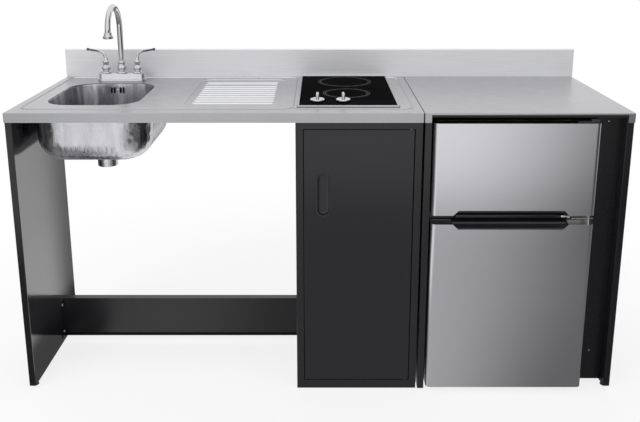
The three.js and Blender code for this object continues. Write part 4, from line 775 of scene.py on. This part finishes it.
SMOOTH_FOIL_ANGLE = math.radians(24)
FOIL_TOP = 885.0
FOIL_BOTTOM = DISH_Z - SHEET - 13
FOIL_SIZE = (BOWL_SIZE[0] + 78, BOWL_SIZE[1] + 70)
FOIL_CORNER = 103
FOIL_FILLET = 74
FOIL_DRAFT = 3
FOIL_FLOOR_RADIUS = 44
CORNER_STEPS = 30


def crinkle(point, scale, amount, seed):
    """How far crumpled foil stands off its smooth form at a point."""
    place = point * scale + Vector((seed, seed * 0.7, seed * 1.3))
    weights = (1.0, 0.5, 0.25)
    ridges = [weight * (1 - 2 * abs(noise.noise(place * 1.9**k))) for k, weight in enumerate(weights)]
    return amount * (sum(ridges) / sum(weights))


def crumpled(rings, scale, amount, seed):
    """Rings round the bowl's axis with their points moved in by up to twice an amount."""
    out = []
    for ring in rings:
        moved_ring = []
        for point in ring:
            away = Vector((point.x - BOWL[0], point.y - BOWL[1], 0))
            away = away.normalized() if away.length > 1 else Vector((0, 0, -1))
            normal = (away + Vector((0, 0, -0.35))).normalized()
            moved_ring.append(point + normal * (crinkle(point, scale, amount, seed) - amount))
        out.append(moved_ring)
    return out


def foil_rings():
    """Down the walls, round the lower edge and in along the floor to the drain."""
    rings = []
    for k in range(30):
        z = FOIL_TOP + (FOIL_BOTTOM + FOIL_FILLET - FOIL_TOP) * k / 30
        rings.append(around_bowl(FOIL_DRAFT * k / 30, FOIL_CORNER, z, CORNER_STEPS, FOIL_SIZE))
    for k in range(24):
        turn = math.pi / 2 * k / 23
        inset = FOIL_DRAFT + FOIL_FILLET * (1 - math.cos(turn))
        z = FOIL_BOTTOM + FOIL_FILLET * (1 - math.sin(turn))
        rings.append(around_bowl(inset, max(FOIL_CORNER + 2 - inset, 30), z, CORNER_STEPS, FOIL_SIZE))
    last = rings[-1]
    middle = Vector((*BOWL, FOIL_BOTTOM))
    target = []
    for p in last:
        away = Vector((p.x - BOWL[0], p.y - BOWL[1], 0))
        target.append(middle + away * (FOIL_FLOOR_RADIUS / away.length))
    return rings + [[a.lerp(b, k / 14) for a, b in zip(last, target)] for k in range(1, 15)]


def drawn_in(point, share=0.985):
    """A point of the wrap's inside, for one of its outside."""
    x = BOWL[0] + (point.x - BOWL[0]) * share
    y = BOWL[1] + (point.y - BOWL[1]) * share
    return Vector((x, y, min(point.z + 1.2, FOIL_TOP - 0.1)))


outer = crumpled(foil_rings(), scale=0.045, amount=1.9, seed=3.1)
inner = [[drawn_in(p) for p in ring] for ring in reversed(outer)]
wrap = loft(outer + inner, looped=True)
piece("foil_wrap", wrap, FOIL, stands_for=["bowl_foil_wrap"], angle=SMOOTH_FOIL_ANGLE)

# The sleeve's outside and inside are (radius, height) lines under the wrap.
SLEEVE_TOP = FOIL_BOTTOM - 0.3
sleeve_line = [(50, 0), (50, -1.2), (36, -2.4), (33, -5)]
sleeve_line += [(32.5, -5 - 4.4 * k) for k in range(1, 12)] + [(32.5, -57.8)]
inside_line = [(r - 1.4, z) for r, z in sleeve_line[:2:-1]] + [(31.2, -0.2)]
rings = [circle_ring(r, SLEEVE_TOP + z, 96, *BOWL) for r, z in sleeve_line + inside_line]
sleeve = loft(crumpled(rings, scale=0.09, amount=0.9, seed=7.7), looped=True)
sleeve = piece(
    "foil_sleeve", sleeve, FOIL, stands_for=["drain_foil_sleeve"], angle=SMOOTH_FOIL_ANGLE,
)
notch = [circle_ring(8.5, SLEEVE_TOP + z, 32, BOWL[0] + FOIL_FLOOR_RADIUS, BOWL[1]) for z in (-70, 8)]
cut(sleeve, loft(notch))
smooth(sleeve.data, SMOOTH_FOIL_ANGLE)

# ------------------------------------------------------------------ hob

KNOBS = ((-6.0, -148.5, "left"), (73.0, -148.5, "right"))
DISC = [(0, 0.3), (21.5, 0.3), (22.5, 1.8), (22, 5), (20, 6.6), (18, 7.3), (0, 7.3)]
SPINDLE = [(0, -18), (3, -18), (3, 1), (0, 1)]
# Each level of the grip: how far it draws in, and its height.
FIN = ((0, 6.5), (0.4, 12), (0.9, 19), (1.6, 22.5), (2.8, 23.8), (4.2, 24.2))
fin = loft([rounded_ring(0, 0, 5.5 - i, 19.5 - i, 5.2 - i, z, 10) for i, z in FIN])
knob = merged(revolve(DISC, 64, 0.9), fin, revolve(SPINDLE, 24))
pointer = block(-0.5, 0.5, 7, 16, 23.9, 24.35, 0.2)
for x, y, tag in KNOBS:
    place = (x, y, GLASS_TOP)
    body = f"knob_{tag}_body"
    piece(f"knob_{tag}", knob.moved(*place), KNOB, body, [f"hob_knob_{tag}"])
    piece(f"knob_mark_{tag}", pointer.moved(*place), BLACK_PLASTIC, body)


def zone_ring(x, y, radius, width=1.6):
    profile = [(radius - width, 0.02), (radius, 0.02), (radius, 0.12), (radius - width, 0.12)]
    return revolve(profile, 128, closed=True).moved(x, y, GLASS_TOP)


ZONES = ((86.5, 170.5, 90.0), (86.5, -31.5, 75.0))
SECOND_RING = 7
marks = Shape()
for x, y, radius in ZONES:
    marks.add(zone_ring(x, y, radius))
    marks.add(zone_ring(x, y, radius - SECOND_RING))
piece("hob_zone_marks", marks, MARKS)

# ------------------------------------------------------------------ strainer

DRAIN = (*BOWL, DISH_Z)
STRAINER = [
    (44, 0.3), (44, 1.3), (42, 2.3), (28.5, 2.3), (27, 0.8), (27, -24), (17.5, -28), (17.5, -75), (19.5, -75),
]
STRAINER += [(19.5 - 0.7 * (k % 2), -73 + 1.5 * k) for k in range(17)]
STRAINER += [(19.5, -45), (19.5, -30), (29, -26), (29, 0.3)]
strainer = revolve(STRAINER, 64, closed=True).moved(*DRAIN)
piece("strainer_cup", strainer, SINK, stands_for=["strainer_body"])

BASKET = [
    (0, -21), (18.5, -21), (25.5, -15), (25.5, 2.6), (33, 2.6), (33, 3.8), (24, 3.8), (24, -14.4),
    (17.9, -19.5), (5, -19.5), (3.5, -12), (3.5, 2), (7, 4), (7, 9), (4.5, 11), (0, 11),
]
basket = revolve(BASKET, 64, 0.7).moved(*DRAIN)
basket = piece("strainer_basket_fine", basket, SINK, "basket_body", ["strainer_basket"])
# Holes in the floor, as circles of (count, circle's radius, hole's radius), and one row round the wall.
FLOOR_HOLES = ((8, 8.5, 1.5), (14, 13.5, 1.7))
WALL_HOLES = 16
holes = Shape()
for count, radius, size in FLOOR_HOLES:
    for k in range(count):
        angle = 2 * math.pi * (k + 0.5) / count
        at = (radius * math.cos(angle), radius * math.sin(angle))
        holes.add(loft([circle_ring(size, z, 12, *at) for z in (-24, -17)]))
for k in range(WALL_HOLES):
    bar = loft([circle_ring(1.6, z, 12) for z in (20, 29)]).turned(90, "Y").moved(z=-7)
    holes.add(bar.turned(360 * (k + 0.5) / WALL_HOLES))
cut(basket, holes.moved(*DRAIN))
smooth(basket.data)

# ------------------------------------------------------------------ cabinet door pull

PULL = (12.1, 640.0, 21.0, 69.0)
# Each level of the pull, from its back over the lip to its floor: how far it draws in, and its place in Y.
PULL_LEVELS = (
    (9, -276.7), (4.4, -276.7), (3.2, -278), (3.2, -290.9), (0, -290.9), (0, -291.4), (0.3, -291.8),
    (0.9, -292), (3.0, -292), (3.7, -291.6), (4.2, -290.6), (4.6, -282), (5.6, -279.2), (8, -278),
    (12, -277.8),
)


def pull_ring(inset, y):
    """A slot's outline on a plane that faces the front."""
    x, z, half_x, half_z = PULL
    ring = rounded_ring(x, z, half_x - inset, half_z - inset, half_x - inset - 0.1, 0, 14)
    return [Vector((p.x, y, p.y)) for p in ring]


pull = loft([pull_ring(*level) for level in PULL_LEVELS])
piece("door_pull", pull, BLACK_PLASTIC, "cabinet_door_body", ["cabinet_door_pull"])

# ------------------------------------------------------------------ refrigerator grips and trim

GRIP_X = (394.8, 737.8)
GRIP_DEPTH = 44
GRIP_LIP = [
    (44, 0.4), (44, 15.1), (1.6, 15.1), (0.7, 14.6), (0.4, 13.6), (0.4, 12.4), (0.9, 11.3), (2.2, 10.6),
]
HOLLOW = (21.6, 10.2)
GRIPS = (
    ("freezer_grip", 583.0, 1, "freezer_door_body"),
    ("fridge_grip", 555.5, -1, "fridge_door_body"),
)


def grip(edge_z, way):
    """A scoop along a door's edge: a rounded lip in front and a hollow behind it for the finger tips."""
    section = list(GRIP_LIP)
    for k in range(1, 11):
        angle = k * math.pi / 20
        section.append((2.2 + HOLLOW[0] * math.sin(angle), 0.4 + HOLLOW[1] * math.cos(angle)))
    rings = []
    for x in (GRIP_X[0] - 2, GRIP_X[1] + 2):
        rings.append([Vector((x, DOOR_FACE_Y + depth, edge_z + way * rise)) for depth, rise in section])
    return loft(rings[::way])


def grip_room(edge_z, way):
    """The notch with chamfered ends that the grip fills."""
    left, right = GRIP_X[0] + 0.5, GRIP_X[1] - 0.5
    line = eased([(left, 0.2), (right, 0.2), (right - 15.2, 15.2), (left + 15.2, 15.2)], 2.0, closed=True)
    rings = []
    for y in (DOOR_FACE_Y + 0.3, DOOR_FACE_Y + GRIP_DEPTH + 0.2):
        rings.append([Vector((p.x, y, edge_z + way * p.y)) for p in line])
    return loft(rings[::-way])


for name, edge_z, way, body in GRIPS:
    shape = grip(edge_z, way)
    thing = piece(name, shape, BLACK_PLASTIC, body, [name.replace("_", "_door_")])
    cut(thing, grip_room(edge_z, way), "INTERSECT")
    smooth(thing.data)

BETWEEN_DOORS_Z = 569.2
trim = []
for x, shrink in ((407, 0.5), (408, 0), (721, 0), (722, 0.5)):
    ring = rounded_ring(BETWEEN_DOORS_Z, -274, 6.6 - shrink, 9.2 - shrink, 4.5, x, 6)
    trim.append([Vector((p.z, p.y, p.x)) for p in ring])
piece("mullion_trim", loft(trim), BLACK_PLASTIC)
STOP = [(0, 0), (5.2, 0), (5.6, 0.8), (5.6, 13), (4.6, 14), (4.6, 20), (2.6, 21), (2.6, 27.4), (0, 27.4)]
stop = revolve(STOP, 32, 0.6).turned(90, "Y").moved(722, -279.5, BETWEEN_DOORS_Z)
piece("hinge_stop", stop, CHROME)

# ------------------------------------------------------------------ refrigerator, inside

for name, z0, z1, body in (
    ("freezer_door_liner", 600, 846, "freezer_door_body"), ("fridge_door_liner", 50, 538, "fridge_door_body"),
):
    top = min(z1, 812)
    liner = block(360.5, 784.2, -270.4, -268.6, z0 - 4, z1, 0.5)
    for x in (374.0, 759.5):
        liner.add(block(x, x + 11, -269, -223, max(z0, 72), top, 4.0))
    piece(name, liner, DOOR_LINER, body)

ribs = Shape()
for z in (330, 395, 460):
    for x0, x1 in ((368.9, 374.5), (770.1, 775.7)):
        ribs.add(block(x0, x1, -185, 150, z, z + 7, 2.0))
piece("shelf_ribs", ribs, DOOR_LINER)
piece("shelf_trim", block(370, 774.6, -190.2, -183.6, 244.4, 253.6, 1.6), DOOR_LINER)
DIAL = (572.3, -120.5)
DIAL_ROOM = 22.5
housing = block(520, 625, -165, -70, 533.2, 548.8, 5.0)
housing = piece("thermostat_housing", housing, DOOR_LINER)
cut(housing, loft([circle_ring(DIAL_ROOM, z, 48, *DIAL) for z in (525, 560)]))
smooth(housing.data)
ribs = Shape()
for k in range(9):
    x = 396 + 44 * k
    ribs.add(block(x, x + 5, -195, 158, 589.4, 591.0, 0.7))
piece("freezer_floor_ribs", ribs, DOOR_LINER)

# ------------------------------------------------------------------ refrigerator, back

COMPRESSOR = (612.3, 133.5)
COMPRESSOR_SIZE = (72, 62)
# Each level of the shell: its share of the full size, and its height.
SHELL = (
    (0.66, 33.4), (0.86, 36), (0.95, 44), (0.985, 54), (0.985, 87), (1.035, 89.5), (1.035, 93.5), (0.985, 96),
    (0.985, 122), (0.965, 134), (0.90, 148), (0.78, 160), (0.58, 168.5), (0.34, 172.8), (0.12, 174),
)
GROMMET = [(0, 24.6), (8, 24.6), (9.5, 27), (9.5, 30), (7, 32), (9.5, 34), (9, 37), (4, 38.4), (0, 38.4)]
middle_x, middle_y = COMPRESSOR
rings = []
for scale, z in SHELL:
    half_x, half_y = COMPRESSOR_SIZE[0] * scale, COMPRESSOR_SIZE[1] * scale
    rings.append(rounded_ring(middle_x, middle_y, half_x, half_y, half_y * 0.93, z, 14))
compressor = loft(rings)
compressor.add(block(middle_x - 85, middle_x + 85, middle_y - 45, middle_y + 45, 24.4, 27.6, 1.2))
piece("compressor_fine", compressor, DARK_STEEL, stands_for=["compressor"])
grommets = Shape()
for x in (-72, 72):
    for y in (-34, 34):
        grommets.add(revolve(GROMMET, 32, 1.0).moved(middle_x + x, middle_y + y))
piece("compressor_grommets", grommets, RUBBER)
terminal = block(middle_x + 66, middle_x + 92, 112, 155, 76, 118, 3.0)
piece("compressor_terminal", terminal, BLACK_PLASTIC)

COIL_X = (382.3, 762.3)
COIL_Y = 208.3
COIL_Z = 258
COIL_PITCH = 70
WIRES = 26
WIRE_MARGIN = 22
route = []
for k in range(7):
    ends = COIL_X if k % 2 == 0 else COIL_X[::-1]
    route += [(x, COIL_Y, COIL_Z + COIL_PITCH * k) for x in ends]
wires = Shape()
for k in range(WIRES):
    x = COIL_X[0] + WIRE_MARGIN + k * (COIL_X[1] - COIL_X[0] - 2 * WIRE_MARGIN) / (WIRES - 1)
    wires.add(tube([(x, 211.2, 250), (x, 211.2, 686)], 0.75, 8))
coil = merged(tube(eased(route, 34, 8), 2.5, 12), wires)
piece("condenser_coil_fine", coil, DARK_STEEL, stands_for=["condenser_coil"])
clips = Shape()
for x in (COIL_X[0] + 60, COIL_X[1] - 60):
    for z in (328, 608):
        clips.add(block(x - 9, x + 9, 205.4, 211.6, z - 6, z + 6, 1.2))
piece("coil_clips", clips, BLACK_PLASTIC)

PIPES = (
    [
        (556, 150, 112), (480, 150, 112), (430, 190, 112), (382.3, 200, 150), (382.3, COIL_Y, 190),
        (382.3, COIL_Y, 256),
    ],
    [(668, 160, 118), (720, 175, 130), (745, 190, 170), (745, 190, 206)],
    [
        (762.3, COIL_Y, 680), (790, COIL_Y, 680), (790, COIL_Y, 215), (790, 190, 190), (770, 150, 160),
        (770, 120, 206),
    ],
)
for k, line in enumerate(PIPES):
    piece(f"copper_pipe_{k + 1}", tube(eased(line, 26, 8), 2.6, 14), COPPER)

# ------------------------------------------------------------------ levelling feet


def middle_of(name):
    """A CAD node's middle in plan, in millimetres."""
    corners = [Vector(c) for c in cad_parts[name].bound_box]
    return [sum(c[i] for c in corners) / 8 / MM for i in range(2)]


FOOT = [(0, 0), (10.6, 0), (11, 0.8), (11, 2.2), (8.5, 3.8), (5.4, 4.4), (5, 5), (5, 7.7), (0, 7.7)]
LOCK_NUT = [(5.1, 4.7), (8.2, 4.7), (8.6, 5.1), (8.6, 7.4), (5.1, 7.4)]
foot = merged(revolve(FOOT, 48, 0.5), revolve(LOCK_NUT, 6, closed=True))
for name in ("leg_foot_front", "leg_foot_rear", "end_foot_front", "end_foot_rear"):
    shape = foot.moved(*middle_of(name))
    piece(name + "_fine", shape, DARK_STEEL, stands_for=[name])
GLIDE = [(0, 0), (15, 0), (16, 1), (16, 5), (14, 6.5), (8, 7.5), (8, 17.7), (0, 17.7)]
for name in ("fridge_foot_left", "fridge_foot_right"):
    shape = revolve(GLIDE, 48, 0.8).moved(*middle_of(name))
    piece(name + "_fine", shape, BLACK_PLASTIC, stands_for=[name])

# ------------------------------------------------------------------ screws and bolts

RECESS = 0.45


def dome(radius, height):
    """A round screw head with a small recess, seated on z = 0."""
    line = [(0, 0), (radius, 0), (radius, height * 0.3), (radius * 0.8, height * 0.8)]
    line += [(radius * 0.52, height), (radius * RECESS, height), (radius * RECESS, height * 0.4)]
    line.append((0, height * 0.4))
    return revolve(line, 24)


# The turn that points a head out along each direction.
TURNS = {"+X": (90, "Y"), "-X": (-90, "Y"), "+Y": (-90, "X"), "-Y": (90, "X")}


def heads(name, radius, height, spots, material=ZINC):
    whole = Shape()
    for way, x, y, z in spots:
        whole.add(dome(radius, height).turned(*TURNS[way]).moved(x, y, z))
    piece(name, whole, material)


heads("rail_bolts", 5, 2.8, [
    (way, x, -8, z) for way, x in (("+X", -890.2), ("-X", -72.2)) for z in (44, 143)
])
heads("filler_screws", 2.6, 1.4, [("-Y", 853, -252.5, z) for z in (110, 855)])
heads("hinge_screws", 3.2, 1.6, [("-Y", x, -267.8, 575.6) for x in (764, 784)])
heads("fridge_back_screws", 3.6, 1.8, [
    ("+Y", x, 205.5, z) for x in (346, 572, 798) for z in (230, 540, 848)
], DARK_STEEL)
heads("cabinet_back_screws", 3.4, 1.7, [
    ("+Y", x, 287.5, z) for x in (-60, 116, 292) for z in (14, 300, 580, 810)
], DARK_STEEL)

# ------------------------------------------------------------------ world, lamps and floor

WHITE = (1, 1, 1, 1)


def rays_of(nodes):
    """Two factors: for rays that the camera sees by, and for rays that a glossy surface mirrors."""
    rays = nodes.add("ShaderNodeLightPath").outputs
    return nodes.larger(rays["Is Camera Ray"], rays["Is Transmission Ray"]), rays["Is Glossy Ray"]


def studio_of(nodes):
    """What glossy surfaces mirror: white with a dark card at the front right and one at each side."""
    x, y, z = nodes.split(nodes.add("ShaderNodeTexCoord").outputs["Generated"])
    to_front = nodes.ramp(y, 1.0, 0.0, -0.6, 0.1, smooth=True)
    to_right = nodes.ramp(x, 0.0, 1.0, 0.12, 0.36, smooth=True)
    low = nodes.ramp(z, 1.0, 0.0, 0.0, 0.15, smooth=True)
    studio = nodes.mix(nodes.product(to_front, to_right, low, 0.8), WHITE, (0.04, 0.04, 0.045, 1))
    sideways = nodes.ramp(nodes.math("ABSOLUTE", y), 1.0, 0.0, 0.4, 0.62, smooth=True)
    low = nodes.product(sideways, nodes.ramp(z, 1.0, 0.0, 0.5, 0.85, smooth=True))
    for start, end, weight in ((0.5, 0.8, 0.85), (-0.5, -0.85, 0.6)):
        card = nodes.product(nodes.ramp(x, 0.0, weight, start, end, smooth=True), low)
        studio = nodes.mix(card, studio, (0.05, 0.05, 0.055, 1))
    return studio


world = bpy.data.worlds.new("studio")
bpy.context.scene.world = world
world.use_nodes = True
nodes = Nodes(world.node_tree)
seen, glossy = rays_of(nodes)
lighting = nodes.mix(glossy, (0.62, 0.62, 0.63, 1), studio_of(nodes))
sky = nodes.mix(seen, lighting, WHITE)
background = nodes.add("ShaderNodeBackground", {"Color": sky, "Strength": 1.0})
nodes.add("ShaderNodeOutputWorld", {"Surface": background.outputs[0]})


def lamp(name, place, target, size, power):
    """An area lamp that no glossy surface mirrors."""
    data = bpy.data.lights.new(name, "AREA")
    data.shape = "RECTANGLE"
    data.size, data.size_y = size
    data.energy = power
    thing = bpy.data.objects.new(name, data)
    bpy.context.scene.collection.objects.link(thing)
    thing.location = place
    thing.rotation_euler = (Vector(target) - Vector(place)).to_track_quat("-Z", "Y").to_euler()
    thing.visible_glossy = False


lamp("key", (-2.4, -2.6, 3.4), (0, 0, 0.5), (2.4, 2.4), 58)
lamp("fill", (2.8, -2.2, 2.2), (0, 0, 0.5), (2.0, 2.0), 16)
lamp("back", (0.0, 2.8, 3.0), (0, 0, 0.6), (3.0, 1.5), 30)

FLOOR_LEVEL = -0.4
FLOOR_RINGS = (20000, 5000, 2500, 1200, 400)
floor_shape = loft([circle_ring(radius, FLOOR_LEVEL, 96) for radius in FLOOR_RINGS])
# The outer cap would lie over the rings.
floor_shape.faces.pop(-2)
floor = object_from("floor", floor_shape)
floor.data.validate()


def mirrored_level(nodes, x, ahead):
    """How brightly glossy surfaces mirror the floor: less so by the unit's right half, with a painted shadow
    by the leg panel.
    """
    close = nodes.ramp(x, 1.0, 0.5, -0.5, -0.1, smooth=True)
    far_off = nodes.ramp(ahead, 0.0, 1.0, 0.9, 2.9, smooth=True)
    behind = nodes.ramp(ahead, 1.0, 0.0, -0.2, 0.3)
    widening = nodes.math("ADD", nodes.product(ahead, 0.5), 0.5)
    aside = nodes.math("DIVIDE", x, nodes.larger(widening, 0.35))
    depth = nodes.ramp(ahead, 0.66, 0.92, 1.0, 2.2)
    shade = nodes.product(depth, nodes.ramp(aside, 0.0, 1.0, 0.4, 1.15, smooth=True))
    open_floor = nodes.product(nodes.larger(close, far_off), nodes.math("SUBTRACT", 1.0, shade))
    lit = nodes.larger(open_floor, nodes.product(behind, 0.95))
    # Dark fields: painted shadow of the unit on the floor beside the leg panel and behind it, seen only in
    # reflections, and darker floor far off at the left and at the back.
    beyond = nodes.larger(nodes.math("SUBTRACT", ahead, 0.15), 0.0)
    outward = nodes.math("ADD", x, nodes.product(beyond, 0.37))
    painted_shadow_beside_leg = nodes.product(
        nodes.ramp(ahead, 0.0, 1.0, -0.6, -0.45),
        nodes.ramp(ahead, 1.0, 0.0, 1.2, 1.9),
        nodes.ramp(outward, 1.0, 0.0, -0.80, -0.74),
    )
    slant = nodes.math("ADD", x, nodes.product(ahead, 0.36))
    painted_shadow_behind_leg = nodes.product(
        nodes.ramp(slant, 0.85, 0.0, -0.93, -0.86),
        nodes.ramp(ahead, 1.0, 0.0, -0.3, -0.1),
    )
    far_left = nodes.ramp(x, 0.0, 0.55, -2.2, -3.2, smooth=True)
    far_back = nodes.ramp(ahead, 0.0, 0.6, -3.3, -3.9, smooth=True)
    for dark in (painted_shadow_beside_leg, painted_shadow_behind_leg, far_left, far_back):
        lit = nodes.product(lit, nodes.ramp(dark, 1.0, 0.15))
    return lit


def floor_surface(nodes):
    """A matt floor, white where it is far off, with a surface of its own for mirrored rays."""
    seen, glossy = rays_of(nodes)
    place = nodes.place()
    tint = nodes.mix(nodes.noise(30, detail=3.0), (0.88, 0.88, 0.88, 1), (0.92, 0.92, 0.92, 1))
    matt = nodes.add("ShaderNodeBsdfDiffuse", {"Color": tint}).outputs[0]
    length = nodes.add("ShaderNodeVectorMath", {0: place}, operation="LENGTH").outputs["Value"]
    white = nodes.product(nodes.ramp(length, 0.8, 1.0, 0.8, 2.0, smooth=True), seen)
    glow = nodes.add("ShaderNodeEmission", {"Color": WHITE, "Strength": 1.0}).outputs[0]
    shown = nodes.add("ShaderNodeMixShader", {0: white, 1: matt, 2: glow}).outputs[0]
    x, y, _ = nodes.split(place)
    level = mirrored_level(nodes, x, nodes.product(y, -1.0))
    mirrored = nodes.add("ShaderNodeEmission", {"Color": WHITE, "Strength": level}).outputs[0]
    return nodes.add("ShaderNodeMixShader", {0: glossy, 1: shown, 2: mirrored}).outputs[0]


floor.data.materials.append(material_of("floor", floor_surface))
